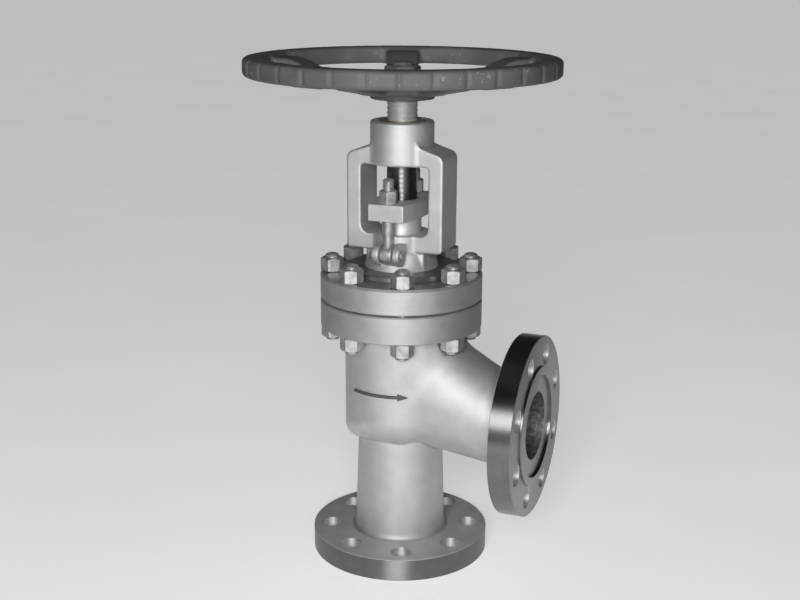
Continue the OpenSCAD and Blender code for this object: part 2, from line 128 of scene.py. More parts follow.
# %% Colour and node helpers
def linear(hex_colour):
    """An sRGB hex colour as the linear RGBA that shaders take."""
    steps = [int(hex_colour[i : i + 2], 16) / 255 for i in (1, 3, 5)]
    return [c / 12.92 if c <= 0.04045 else ((c + 0.055) / 1.055) ** 2.4 for c in steps] + [1.0]


def add(tree, kind, inputs, **options):
    """Adds a shader node. Inputs are values, or output sockets to link from."""
    made = tree.nodes.new("ShaderNode" + kind)
    for option, value in options.items():
        setattr(made, option, value)
    for name, value in inputs.items():
        if isinstance(value, bpy.types.NodeSocket):
            tree.links.new(value, made.inputs[name])
        else:
            made.inputs[name].default_value = value
    return made.outputs


def new_material(name, **sockets):
    """A material with its shader's uniform values set on the shader itself."""
    material = bpy.data.materials.new(name)
    material.use_nodes = True
    shader = material.node_tree.nodes["Principled BSDF"]
    for socket, value in sockets.items():
        shader.inputs[socket.replace("_", " ")].default_value = value
    return material, material.node_tree, shader.inputs


FAC, A, B, MIXED = 0, 6, 7, 2
print("white is", linear("#ffffff")[:3])

# %% [markdown]
# ## Aluminium paint on sand-cast steel
# Body and bonnet are sand castings, sprayed together with the gland plate in silver-grey aluminium
# paint. The metal flakes make it part mirror, so it is bright where it faces the light and dark at its
# edges. The sand leaves a fine pimpled skin, drawn 1.6 mm wide because the real 0.6 mm grain is too fine
# to show. The creases are darkened with painted shade and a little dirt, found by the mesh's own pointiness.

# %% Aluminium paint
SAND_GRAIN = 1.6
CAST_WAVE = 22.0
aluminium_paint, tree, paint = new_material("aluminium_paint_on_cast_steel", Metallic=0.88)
at = add(tree, "TexCoord", {})["Object"]
sand = add(tree, "TexNoise", {"Vector": at, "Scale": 1 / (SAND_GRAIN * MM), "Detail": 3.0})["Fac"]
wave = add(tree, "TexNoise", {"Vector": at, "Scale": 1 / (CAST_WAVE * MM), "Detail": 2.0})["Fac"]
tone = add(tree, "MapRange", {"Value": wave, "From Min": 0.3, "From Max": 0.7})[0]
coat = add(tree, "Mix", {FAC: tone, A: linear("#cacaca"), B: linear("#d4d4d4")}, data_type="RGBA")[MIXED]
# Painted shade and dirt: where pointiness marks a crease, the coat is darkened towards #5e5e5e.
bend = add(tree, "NewGeometry", {})["Pointiness"]
crease_shade_and_dirt = add(tree, "MapRange", {"Value": bend, "From Min": 0.40, "From Max": 0.49})[0]
crease_shaded_coat = add(tree, "Mix", {FAC: crease_shade_and_dirt, A: linear("#5e5e5e"), B: coat}, data_type="RGBA")[MIXED]
tree.links.new(crease_shaded_coat, paint["Base Color"])
gloss = add(tree, "MapRange", {"Value": sand, "To Min": 0.58, "To Max": 0.70})[0]
tree.links.new(gloss, paint["Roughness"])
skin_height = add(tree, "Math", {0: wave, 1: 0.8, 2: sand}, operation="MULTIPLY_ADD")[0]
bump = add(tree, "Bump", {"Height": skin_height, "Strength": 0.35, "Distance": 0.3 * MM})[0]
tree.links.new(bump, paint["Normal"])
print("made", aluminium_paint.name)

# %% [markdown]
# ## Raw casting inside
# The flow passage is left as it came out of the sand: no paint, a dark scale and a coarse skin. Patches
# 7 mm across break its colour and its bump, and only their tops have a dull metal shine. Other plain
# finishes of the valve are mottled in the same way, so one function makes them all.

# %% Raw casting
RAW_GRAIN = 7.0


def mottled_material(name, patch, colours, spread=(0, 1), gloss=None, bump=None, detail=4.0, **sockets):
    """A finish whose patches, of a size in millimetres, break its colour, its gloss and its skin."""
    made, tree, shader = new_material(name, **sockets)
    at = add(tree, "TexCoord", {})["Object"]
    noise = add(tree, "TexNoise", {"Vector": at, "Scale": 1 / (patch * MM), "Detail": detail})["Fac"]
    tone = add(tree, "MapRange", {"Value": noise, "From Min": spread[0], "From Max": spread[1]})[0]
    dark, light = linear(colours[0]), linear(colours[1])
    colour = add(tree, "Mix", {FAC: tone, A: dark, B: light}, data_type="RGBA")[MIXED]
    tree.links.new(colour, shader["Base Color"])
    if gloss:
        shine = add(tree, "MapRange", {"Value": noise, "To Min": gloss[0], "To Max": gloss[1]})[0]
        tree.links.new(shine, shader["Roughness"])
    if bump:
        relief = add(tree, "Bump", {"Height": noise, "Strength": bump[0], "Distance": bump[1] * MM})[0]
        tree.links.new(relief, shader["Normal"])
    print("made", name)
    return made


raw_casting = mottled_material(
    "raw_sand_cast_steel",
    RAW_GRAIN,
    ("#585858", "#8c8c8c"),
    spread=(0.35, 0.65),
    gloss=(0.62, 0.44),
    bump=(0.4, 0.8),
    Metallic=0.7,
)

# %% [markdown]
# ## Turned steel
# Flange faces and rims are left bare from the lathe. The tool leaves rings round the axis, finer than
# the eye can part, and they stretch each highlight across the rings. Anisotropy gives that stretch,
# with the tangent running round the local Z axis, and ring noise in radius and height adds the few
# coarser marks. The real rings are 0.2 mm apart and are drawn 0.8 mm apart to show. One function gives
# all the finishes, from the fine-turned edge of a flange to its pale, dull back. The edge is painted darker
# and the back, the holes and the bush paler than their steel, as painted shade and painted light.

# %% Turned steel
RING_PITCH = 0.8
STAIN = 30.0


def turned_material(name, dark, light, rough_low, rough_high, stretch, metal=1.0):
    """Bare lathe-turned metal whose rings run round its object's Z axis."""
    made, tree, shader = new_material(name, Metallic=metal, Anisotropic=stretch, Anisotropic_Rotation=0.25)
    at = add(tree, "TexCoord", {})["Object"]
    flat = add(tree, "VectorMath", {0: at, 1: (1, 1, 0)}, operation="MULTIPLY")[0]
    radius = add(tree, "VectorMath", {0: flat}, operation="LENGTH")["Value"]
    height = add(tree, "SeparateXYZ", {0: at})["Z"]
    across = add(tree, "CombineXYZ", {0: radius, 1: height})[0]
    rings = add(tree, "TexNoise", {"Vector": across, "Scale": 1 / (RING_PITCH * MM), "Detail": 4.0})["Fac"]
    stain = add(tree, "TexNoise", {"Vector": at, "Scale": 1 / (STAIN * MM), "Detail": 5.0})["Fac"]
    mixed = add(tree, "Math", {0: rings, 1: 0.5, 2: stain}, operation="MULTIPLY_ADD")[0]
    tone = add(tree, "MapRange", {"Value": mixed, "From Min": 0.5, "From Max": 1.0})[0]
    colour = add(tree, "Mix", {FAC: tone, A: linear(dark), B: linear(light)}, data_type="RGBA")[MIXED]
    tree.links.new(colour, shader["Base Color"])
    spread = add(tree, "MapRange", {"Value": tone, "To Min": rough_low, "To Max": rough_high})[0]
    tree.links.new(spread, shader["Roughness"])
    bump = add(tree, "Bump", {"Height": rings, "Strength": 0.12, "Distance": 0.05 * MM})[0]
    tree.links.new(bump, shader["Normal"])
    round_axis = add(tree, "Tangent", {}, direction_type="RADIAL", axis="Z")[0]
    tree.links.new(round_axis, shader["Tangent"])
    print("made", name)
    return made


turned_steel = turned_material("turned_carbon_steel", "#8e8e8e", "#b0b0b0", 0.26, 0.38, 0.75)
faced_steel = turned_material("faced_carbon_steel", "#8e8e8e", "#a8a8a8", 0.36, 0.46, 0.5, 0.9)
# Painted shade: the flange edge is made darker than the steel, standing in for the dark ground it reflects.
edge_steel_painted_dark = turned_material("turned_flange_edge_painted_dark", "#7c7c7c", "#929292", 0.36, 0.42, 0.95)
# Painted light: the flange's back is made pale and dull, standing in for the bright backdrop it would
# reflect.
backed_steel_painted_pale = turned_material("back_faced_carbon_steel_painted_pale", "#b4b4b4", "#cccccc", 0.48, 0.58, 0.3, 0.3)
# Painted light: the hole walls are made pale, standing in for the light seen down and through the holes.
drilled_steel_painted_pale = turned_material("drilled_carbon_steel_painted_pale", "#d0d0d0", "#e6e6e6", 0.58, 0.66, 0.55)
# Partly painted light: the bush is made paler than turned steel, standing in for light it would reflect.
bush_steel_painted_pale = turned_material("turned_bush_steel_painted_pale", "#d0d0d0", "#e4e4e4", 0.44, 0.54, 0.3, 0.6)
joint_steel = turned_material("turned_steel_flange_rim", "#b4b4b4", "#c8c8c8", 0.56, 0.64, 0.3, 0.7)

# %% [markdown]
# ## Drilled holes
# A drill leaves its marks round the hole, not round the flange. Every bolt hole lies along the flange's
# own Z axis, so the cross product of that axis and the wall's normal points round the hole wherever it
# is. That vector replaces the tangent of the drilled finish, and one material serves every hole.

# %% Drilled holes
tree = drilled_steel_painted_pale.node_tree
to_world = {"vector_type": "VECTOR", "convert_from": "OBJECT", "convert_to": "WORLD"}
bore_axis = add(tree, "VectorTransform", {"Vector": (0, 0, 1)}, **to_world)[0]
wall = add(tree, "NewGeometry", {})["Normal"]
round_hole = add(tree, "VectorMath", {0: bore_axis, 1: wall}, operation="CROSS_PRODUCT")[0]
tree.links.new(round_hole, tree.nodes["Principled BSDF"].inputs["Tangent"])
print("the marks of", drilled_steel_painted_pale.name, "run round each hole")

# %% [markdown]
# ## Fastener steel
# Studs, nuts and eyebolts are forged steel with a thin zinc-grey finish, handled and a little oily.
# Mottled noise from 9 mm down breaks both colour and gloss, so that no two nut faces look alike.

# %% Fastener steel
MOTTLE = 9.0
fastener_steel = mottled_material(
    "zinc_grey_forged_steel",
    MOTTLE,
    ("#a4a4a4", "#cccccc"),
    spread=(0.3, 0.65),
    gloss=(0.42, 0.58),
    bump=(0.2, 0.15),
    detail=6.0,
    Metallic=0.75,
)

# %% [markdown]
# ## Greased stem steel
# The stem is ground bar with a trapezoidal thread. The stretch that works inside the yoke carries a thin
# dark film of grease: it fills the grooves, so only a faint wave of the thread is left, and the steel
# under it still shows one bright streak. Above the boss the steel is wiped and dull, and made paler as
# painted light where the wheel shades it. The end that stands out of the wheel was painted along with it.
# The height on the stem tells these stretches apart.

# %% Greased stem steel
STEM_R = 22.0
SMEAR, FILM_FADE = 6.0, 8.0
GREASE_EDGE, PAINT_EDGE = 645.0, 717.0
stem_steel, tree, bar = new_material(
    "ground_stem_steel_with_grease", Anisotropic=0.8, Anisotropic_Rotation=0.25
)
at = add(tree, "TexCoord", {})["Object"]
height = add(tree, "SeparateXYZ", {0: at})["Z"]
smear = add(tree, "TexNoise", {"Vector": at, "Scale": 1 / (SMEAR * MM), "Detail": 4.0})["Fac"]
edge = {"Value": height, "From Min": (GREASE_EDGE - FILM_FADE) * MM, "From Max": GREASE_EDGE * MM}
wiped = add(tree, "MapRange", edge)[0]
painted = add(tree, "Math", {0: height, 1: PAINT_EDGE * MM}, operation="GREATER_THAN")[0]
# Painted light: the wiped steel's pale colour also makes up for the light that the wheel shades off it.
steel = add(tree, "Mix", {FAC: smear, A: linear("#d0d0d0"), B: linear("#e8e8e8")}, data_type="RGBA")[MIXED]
greased = add(tree, "Mix", {FAC: wiped, A: linear("#7c7c7c"), B: steel}, data_type="RGBA")[MIXED]
colour = add(tree, "Mix", {FAC: painted, A: greased, B: linear("#666666")}, data_type="RGBA")[MIXED]
tree.links.new(colour, bar["Base Color"])
dull = add(tree, "Math", {0: wiped, 1: 0.45, 2: painted}, operation="MULTIPLY_ADD")[0]
bare = add(tree, "Math", {0: 1.0, 1: dull}, operation="SUBTRACT", use_clamp=True)[0]
tree.links.new(bare, bar["Metallic"])
sheen = add(tree, "Math", {0: smear, 1: 0.12, 2: 0.32}, operation="MULTIPLY_ADD")[0]
gloss = add(tree, "Math", {0: wiped, 1: 0.42, 2: sheen}, operation="MULTIPLY_ADD")[0]
tree.links.new(gloss, bar["Roughness"])
round_axis = add(tree, "Tangent", {}, direction_type="RADIAL", axis="Z")[0]
tree.links.new(round_axis, bar["Tangent"])
print("made", stem_steel.name)

# %% [markdown]
# ## Bronze and pressed graphite
# The stem nut is cast bronze, turned all over, so it takes the lathe material in its own colours.
# Gasket and packing are pressed graphite: nearly black, with a dull silky sheen and visible flakes
# about a millimetre across.

# %% Bronze and graphite
bronze = turned_material("turned_bronze", "#9c907a", "#b8ac94", 0.4, 0.5, 0.4)
FLAKE = 1.2
graphite, tree, carbon = new_material("pressed_graphite", Metallic=0.1)
at = add(tree, "TexCoord", {})["Object"]
flake = add(tree, "TexVoronoi", {"Vector": at, "Scale": 1 / (FLAKE * MM)})["Color"]
grey = add(tree, "SeparateXYZ", {0: flake})[0]
colour = add(tree, "Mix", {FAC: grey, A: linear("#1d1d1d"), B: linear("#343434")}, data_type="RGBA")[MIXED]
tree.links.new(colour, carbon["Base Color"])
gloss = add(tree, "MapRange", {"Value": grey, "To Min": 0.42, "To Max": 0.62})[0]
tree.links.new(gloss, carbon["Roughness"])
print("made", graphite.name)

# %% [markdown]
# ## Grey enamel on the cast-iron wheel
# The handwheel is cast iron with one thick coat of mid-grey enamel. Hands have rubbed the rim, and
# small chips let a lighter primer through. The chips are the peaks of a noise 5 mm across, kept only
# where a broader noise says that the rim was knocked.

# %% Grey enamel
CHIP = 5.0
RUB = 45.0
wheel_enamel, tree, enamel = new_material("grey_enamel_on_cast_iron", Specular_IOR_Level=0.35)
at = add(tree, "TexCoord", {})["Object"]
chip = add(tree, "TexNoise", {"Vector": at, "Scale": 1 / (CHIP * MM), "Detail": 4.0})["Fac"]
rub = add(tree, "TexNoise", {"Vector": at, "Scale": 1 / (RUB * MM), "Detail": 2.0})["Fac"]
knocked = add(tree, "Math", {0: rub, 1: 0.55, 2: chip}, operation="MULTIPLY_ADD")[0]
bare = add(tree, "MapRange", {"Value": knocked, "From Min": 0.97, "From Max": 1.06})[0]
tone = add(tree, "MapRange", {"Value": rub, "From Min": 0.35, "From Max": 0.65})[0]
coat = add(tree, "Mix", {FAC: tone, A: linear("#5f5f5f"), B: linear("#6b6b6b")}, data_type="RGBA")[MIXED]
worn = add(tree, "Mix", {FAC: bare, A: coat, B: linear("#9a9a9a")}, data_type="RGBA")[MIXED]
tree.links.new(worn, enamel["Base Color"])
gloss = add(tree, "MapRange", {"Value": rub, "To Min": 0.48, "To Max": 0.62})[0]
tree.links.new(gloss, enamel["Roughness"])
relief = add(tree, "Math", {0: chip, 1: 0.5, 2: rub}, operation="MULTIPLY_ADD")[0]
bump = add(tree, "Bump", {"Height": relief, "Strength": 0.3, "Distance": 0.4 * MM})[0]
tree.links.new(bump, enamel["Normal"])
print("made", wheel_enamel.name)

# %% [markdown]
# ## Making pieces
# Every piece goes through one function: it makes the mesh, smooths it up to a crease angle, gives it
# its material and says which body carries it. Round pieces are lofted from rings of points, so one
# loft serves lathe work, nuts and threads alike.

# %% Piece and loft helpers
HOUSING, STEM_GROUP = "housing", "stem_group"
SIDES = 96


def make_piece(name, shape, body, material, stands_for=(), crease=35, place=None):
    """A Blender object from points in millimetres and faces, riding on a CAD body."""
    points, faces = shape
    mesh = bpy.data.meshes.new(name)
    mesh.from_pydata((np.asarray(points) * MM).tolist(), [], faces)
    mesh.shade_smooth()
    mesh.set_sharp_from_angle(angle=math.radians(crease))
    mesh.materials.append(material)
    piece = bpy.data.objects.new(name, mesh)
    scene.collection.objects.link(piece)
    if place is not None:
        piece.matrix_world = place
    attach(piece, body)
    if stands_for:
        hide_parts(*stands_for)
    print(name, len(mesh.vertices), "points,", len(mesh.polygons), "faces")
    return piece


def loft(rings, hollow=False):
    """Quads between rings of points. A hollow loft closes on itself, any other is capped."""
    count = len(rings[0])
    faces = []
    for k in range(len(rings) - (0 if hollow else 1)):
        a = k * count
        b = (k + 1) % len(rings) * count
        for i in range(count):
            j = (i + 1) % count
            faces.append((a + i, a + j, b + j, b + i))
    points = np.concatenate(rings)
    if not hollow:
        faces.append(tuple(range(count - 1, -1, -1)))
        faces.append(tuple(range(len(points) - count, len(points))))
    return points, faces


def ring(radius, z, sides=SIDES):
    """Points on a circle round Z. The radius may differ from point to point."""
    turn = np.arange(sides) * 2 * math.pi / sides
    return np.stack([radius * np.cos(turn), radius * np.sin(turn), np.full(sides, z)], axis=1)


def lathe(outline, sides=SIDES, hollow=True):
    """Turns (radius, height) points round Z. A hollow outline runs up its outside and down its bore."""
    return loft([ring(radius, z, sides) for radius, z in outline], hollow)


def joined(shapes):
    """Several shapes as one mesh of separate islands."""
    points, faces, start = [], [], 0
    for shape_points, shape_faces in shapes:
        points.append(shape_points)
        faces += [tuple(i + start for i in face) for face in shape_faces]
        start += len(shape_points)
    return np.concatenate(points), faces


def moved(shape, at=(0, 0, 0), turn=0.0, tip=0.0):
    """A shape turned round Z, tipped from Z towards X, then moved. Angles are degrees."""
    points, faces = shape
    swing = Matrix.Rotation(math.radians(tip), 3, "Y") @ Matrix.Rotation(math.radians(turn), 3, "Z")
    return points @ np.array(swing).T + np.array(at), faces


print("helpers ready")

# %% [markdown]
# ## Castings from distance fields
# A casting has soft fillets wherever two forms meet, and bevels on a boolean mesh tear there. So the
# castings are written as distance fields: a formula that is negative inside the metal. Two fields
# fuse with a fillet by a smooth minimum, and a cavity carves out the same way.

# %% Field helpers
def between(value, low, high):
    """Distance to a slab between two planes, negative inside it."""
    return np.maximum(low - value, value - high)


def within(a, b, radius=0.0):
    """Inside both fields, with the edge between them rounded."""
    a, b = a + radius, b + radius
    beyond = np.hypot(np.maximum(a, 0), np.maximum(b, 0))
    return beyond + np.minimum(np.maximum(a, b), 0) - radius


def fused(a, b, fillet):
    """Both fields together, with a fillet where they meet."""
    near = np.maximum(fillet - np.abs(a - b), 0) / fillet
    return np.minimum(a, b) - near * near * fillet / 4


def carved(a, b, edge):
    """Field a without field b, with the rim of the cut eased."""
    return -fused(-a, b, edge)


def in_outline(u, v, outline):
    """Distance to a closed outline of (u, v) points, negative inside it."""
    best, inside = np.inf, False
    for (u0, v0), (u1, v1) in zip(outline, outline[1:] + outline[:1]):
        du, dv = u1 - u0, v1 - v0
        along = np.clip(((u - u0) * du + (v - v0) * dv) / (du * du + dv * dv), 0, 1)
        best = np.minimum(best, (u - u0 - along * du) ** 2 + (v - v0 - along * dv) ** 2)
        if dv:
            inside = inside ^ (((v0 > v) != (v1 > v)) & (u < u0 + du * (v - v0) / dv))
    return np.where(inside, -1.0, 1.0) * np.sqrt(best)


def arc(u, v, radius, start, end, steps=6):
    """Points along an arc, in degrees."""
    turns = np.radians(np.linspace(start, end, steps + 1))
    return [(u + radius * math.cos(t), v + radius * math.sin(t)) for t in turns]


print("field helpers ready")

# %% [markdown]
# ## A skin on a field
# Blender wants points and faces, so the field is sampled on a grid. Surface nets lay one point in every
# grid cell that the skin crosses, which gives even quads. A few Newton steps then slide the points
# exactly onto the zero level, so the grid can stay coarse and the fillets are still smooth.

# %% Skin a field
def crossings(values):
    """Cells of a grid of field values that the skin crosses, and a point in each, in cells."""
    size = [n - 1 for n in values.shape]
    corners = [(i, j, k) for i in (0, 1) for j in (0, 1) for k in (0, 1)]
    inside = values < 0
    count = sum(
        inside[i : i + size[0], j : j + size[1], k : k + size[2]].astype(np.int8) for i, j, k in corners
    )
    cells = np.argwhere((count > 0) & (count < 8))
    total = np.zeros(cells.shape)
    hits = np.zeros(len(cells))
    for axis in range(3):
        step = np.eye(3, dtype=int)[axis]
        for corner in corners:
            if corner[axis]:
                continue
            start = cells + corner
            a = values[tuple(start.T)]
            b = values[tuple((start + step).T)]
            crossed = (a < 0) != (b < 0)
            part = np.where(crossed, a / np.where(crossed, a - b, 1), 0)
            total += np.where(crossed[:, None], start + part[:, None] * step, 0)
            hits += crossed
    return cells, total / hits[:, None]


def nets(values, cells):
    """Quads between the points of neighbouring crossed cells, facing out of the metal."""
    size = [n - 1 for n in values.shape]
    index = np.full(size, -1)
    index[tuple(cells.T)] = np.arange(len(cells))
    inside = values < 0
    quads = []
    for axis in range(3):
        u, v = (axis + 1) % 3, (axis + 2) % 3
        near = np.take(inside, range(size[axis]), axis)
        far = np.take(inside, range(1, size[axis] + 1), axis)
        at = np.argwhere(near != far)
        at = at[(at[:, u] > 0) & (at[:, u] < size[u]) & (at[:, v] > 0) & (at[:, v] < size[v])]
        around = []
        for du, dv in ((-1, -1), (0, -1), (0, 0), (-1, 0)):
            cell = at.copy()
            cell[:, u] += du
            cell[:, v] += dv
            around.append(index[tuple(cell.T)])
        quad = np.stack(around, axis=1)
        outward = near[tuple(at.T)]
        quad[~outward] = quad[~outward][:, ::-1]
        quads.append(quad)
    return np.concatenate(quads)


def skin(field, low, high, step, slides=4, nudge=0.15):
    """The zero surface of a field as points in millimetres and quads."""
    axes = [np.arange(a, b + step, step) for a, b in zip(low, high)]
    values = field(*np.meshgrid(*axes, indexing="ij", sparse=True))
    cells, points = crossings(values)
    quads = nets(values, cells)
    points = np.array(low) + points * step
    sides = np.concatenate([quads[:, [i, (i + 1) % 4]] for i in range(4)])
    for slide in range(slides):
        if slide < slides - 1:
            mean = np.zeros(points.shape)
            links = np.bincount(sides[:, 0], minlength=len(points))
            np.add.at(mean, sides[:, 0], points[sides[:, 1]])
            points = 0.5 * points + 0.5 * mean / np.maximum(links, 1)[:, None]
        ways = np.eye(3) * nudge
        slope = [(field(*(points + w).T) - field(*(points - w).T)) / (2 * nudge) for w in ways]
        slope = np.stack(slope, axis=1)
        steep = np.maximum((slope**2).sum(axis=1), 0.1)
        push = np.clip(field(*points.T) / steep, -step, step)
        points = points - slope * push[:, None]
    return points, quads.tolist()


print("skinning ready")

# %% [markdown]
# ## The body casting
# The body is a vertical inlet neck, a round bowl over it and a horn that leads down to the outlet
# flange. The bowl's floor is arched like a saddle and ramps up towards the outlet, which is why its
# joint with the neck shows as a nearly straight line. The horn is a run of upright ovals that shrink to
# the round mouth at the flange, and a fillet that widens upwards makes the broad shoulder. Tapered
# pockets under the joint flange leave room for the nuts.

# %% Body casting
FLANGE_T = 36.0
BORE_R = 50.0
NECK_FOOT_R, NECK_TOP_R, NECK_LOW, NECK_HIGH = 68.0, 63.0, 30.0, 220.0
BOWL_R, BOWL_Z, BOWL_ROUND = 83.0, 199.0, 20.0
SADDLE_R, SADDLE_LOW, SADDLE_RAMP, RAMP_X = 150.0, 178.0, 0.45, 25.0
HORN_START, HORN_X = 20.0, OUTLET_X - FLANGE_T
MOUTH_R, MOUTH_Z = 65.0, OUTLET_Z - 3.0
CREST_X, CREST_HALF_W, CREST_HALF_H, CREST_MID = 82.0, 69.5, 87.0, 257.0
JOINT_UNDER = BODY_TOP - 40.0
SHOULDER_LOW, SHOULDER_FILLETS = 280.0, [10, 44]
FOOT_STUB_R, END_STUB_R, LID_STUB_R = 86.0, 85.0, 112.0
STUB_GAP, STUB_DEEP, LID_DEEP, STUB_FILLET = 0.5, 10.5, 19.5, 9.0
CAVITY_R, SEAT_R, SEAT_TOP, SEAT_DEEP = 66.0, 58.0, 214.0, 18.0
ELBOW_X, ELBOW_RISE, ELBOW_LEN = 160.0, math.radians(24), 147.0
STUD_CIRCLE_R, STUD_COUNT = 101.5, 8
POCKET_R, POCKET_DEEP, POCKET_STEP, POCKET_TAPER = 17.8, 28.4, 16.0, 0.7


def horn_field(x, y, z):
    """The horn from the bowl to the outlet flange: upright ovals that shrink to a round mouth."""
    reach = [HORN_START, CREST_X, HORN_X]
    half_w = np.interp(x, reach, [CREST_HALF_W + 1, CREST_HALF_W, MOUTH_R])
    middle = np.interp(x, reach, [CREST_MID + 22, CREST_MID, MOUTH_Z])
    half_h = np.interp(x, reach, [CREST_HALF_H + 14, CREST_HALF_H, MOUTH_R])
    off = np.hypot(y / half_w, (z - middle) / half_h)
    slope = np.hypot(y / half_w**2, (z - middle) / half_h**2)
    oval = (off - 1) * off / np.maximum(slope, 1e-6)
    return within(oval, np.maximum(between(x, HORN_START, HORN_X + 2), z - JOINT_UNDER - 6))


def flow_field(x, y, z):
    """The passage that the fluid takes: inlet bore, seat, bowl, elbow and outlet bore."""
    r = np.hypot(x, y)
    inlet = within(r - BORE_R, z - SEAT_TOP + 4)
    seat = within(r - SEAT_R, between(z, SEAT_TOP - SEAT_DEEP, SEAT_TOP))
    bowl = within(r - CAVITY_R, SEAT_TOP - z)
    outlet = within(np.hypot(y, z - OUTLET_Z) - BORE_R, ELBOW_X - 18 - x)
    back = (x - ELBOW_X) * -math.cos(ELBOW_RISE) + (z - OUTLET_Z) * math.sin(ELBOW_RISE)
    off = (x - ELBOW_X) * math.sin(ELBOW_RISE) + (z - OUTLET_Z) * math.cos(ELBOW_RISE)
    elbow = within(np.hypot(y, off) - BORE_R, between(back, -3, ELBOW_LEN))
    inner = fused(fused(bowl, elbow, 8), outlet, 6)
    return np.minimum(np.minimum(inlet, seat), inner)


def nut_pockets(x, y, z):
    """Room for the eight lower nuts and for the stud ends below them."""
    r, step = np.hypot(x, y), math.pi / STUD_COUNT
    turn = np.mod(np.arctan2(y, x), 2 * step) - step
    from_stud = np.hypot(r * np.cos(turn) - STUD_CIRCLE_R, r * np.sin(turn))
    taper = POCKET_TAPER * np.maximum(JOINT_UNDER - POCKET_STEP - z, 0)
    return within(from_stud - POCKET_R + taper, between(z, JOINT_UNDER - POCKET_DEEP, JOINT_UNDER + 0.4))


def body_field(x, y, z):
    """Neck, bowl and horn, with stubs that run into the flanges, less pockets and flow passage."""
    r = np.hypot(x, y)
    neck_r = np.interp(z, [FLANGE_T, BOWL_Z], [NECK_FOOT_R, NECK_TOP_R])
    neck = within(r - neck_r, between(z, NECK_LOW, NECK_HIGH))
    foot = within(r - FOOT_STUB_R, between(FLANGE_T - z, STUB_GAP, STUB_DEEP))
    neck = fused(neck, foot, STUB_FILLET)
    saddle_low = SADDLE_LOW + SADDLE_RAMP * np.maximum(x - RAMP_X, 0)
    floor = np.hypot(y, np.minimum(z - saddle_low - SADDLE_R, 0)) - SADDLE_R
    bowl = within(r - BOWL_R, floor, BOWL_ROUND)
    bowl = within(bowl, z - JOINT_UNDER - 12)
    end = within(np.hypot(y, z - OUTLET_Z) - END_STUB_R, between(x - HORN_X, STUB_GAP, STUB_DEEP))
    horn = fused(horn_field(x, y, z), end, STUB_FILLET)
    metal = fused(bowl, horn, np.interp(z, [SHOULDER_LOW, JOINT_UNDER], SHOULDER_FILLETS))
    lid = within(r - LID_STUB_R, between(z - JOINT_UNDER, STUB_GAP, LID_DEEP))
    metal = fused(metal, lid, STUB_FILLET)
    metal = carved(metal, nut_pockets(x, y, z), 5)
    metal = fused(metal, neck, 2.5)
    return carved(metal, flow_field(x, y, z), 1.5)


body_shape = skin(body_field, (-96, -116, 24), (194, 116, 384), 2.6)
body_casting = make_piece(
    "body_casting", body_shape, HOUSING, aluminium_paint, ["valve_body"], crease=60
)
body_casting.data.materials.append(raw_casting)
centres = np.array([face.center for face in body_casting.data.polygons]) / MM
in_passage = np.abs(flow_field(*centres.T)) < 1.0
body_casting.data.polygons.foreach_set("material_index", in_passage.astype(np.int32))
print("raw faces in the passage:", int(in_passage.sum()))

# %% [markdown]
# ## End flanges
# Both ends are the same flange: a turned disc with a raised face, a gasket recess and eight bolt
# holes with eased rims. It is turned standing on its face, drilled by a boolean with cutters that
# flare at both ends, and then laid on the inlet and on the outlet. Its turned side, its holes, its back
# and its cast bore each get their own finish, found by where a face lies.

# %% End flanges
RAISED_R, RAISED_H = 88.0, 3.0
RECESS_R, RECESS_H = 75.0, 4.5
RIM_EDGE = 0.8
EASE = 0.6
FLANGE_SIDES = 144
bolt_turns = (np.arange(BOLT_COUNT) + 0.5) * 2 * math.pi / BOLT_COUNT
bolt_places = [(BOLT_CIRCLE_R * math.cos(t), BOLT_CIRCLE_R * math.sin(t), 0) for t in bolt_turns]


def drilled(shape, cutters):
    """The shape with cutters taken out of it by an exact boolean."""
    blank, tool = [bpy.data.objects.new(n, bpy.data.meshes.new(n)) for n in ("blank", "tool")]
    for item, (points, faces) in ((blank, shape), (tool, joined(cutters))):
        item.data.from_pydata(np.asarray(points).tolist(), [], faces)
        scene.collection.objects.link(item)
    cut = blank.modifiers.new("cut", "BOOLEAN")
    cut.operation, cut.solver, cut.object = "DIFFERENCE", "EXACT", tool
    done = bpy.data.meshes.new_from_object(blank.evaluated_get(bpy.context.evaluated_depsgraph_get()))
    points = np.array([v.co for v in done.vertices])
    faces = [tuple(face.vertices) for face in done.polygons]
    for item in (blank, tool):
        bpy.data.objects.remove(item)
    return points, faces


def drill(radius, low, high, sides=40):
    """A cutter for a hole between two faces, flared so that both rims are eased."""
    wide = radius + 2 * EASE
    flare = [(wide, low - EASE), (radius, low + EASE), (radius, high - EASE), (wide, high + EASE)]
    return lathe(flare, sides, hollow=False)


def end_flange():
    """A pipe flange standing on its raised face, with bolt holes on both sides of its centre lines."""
    outline = [(BORE_R, RECESS_H), (RECESS_R, RECESS_H), (RECESS_R, EASE), (RECESS_R + EASE, 0)]
    outline += [(RAISED_R - EASE, 0), (RAISED_R, EASE), (RAISED_R, RAISED_H)]
    outline += [(FLANGE_R - RIM_EDGE, RAISED_H), (FLANGE_R, RAISED_H + RIM_EDGE)]
    outline += [(FLANGE_R, FLANGE_T - RIM_EDGE), (FLANGE_R - RIM_EDGE, FLANGE_T), (BORE_R, FLANGE_T)]
    hole = drill(BOLT_HOLE_R, RAISED_H, FLANGE_T)
    return drilled(lathe(outline, FLANGE_SIDES), [moved(hole, at) for at in bolt_places])


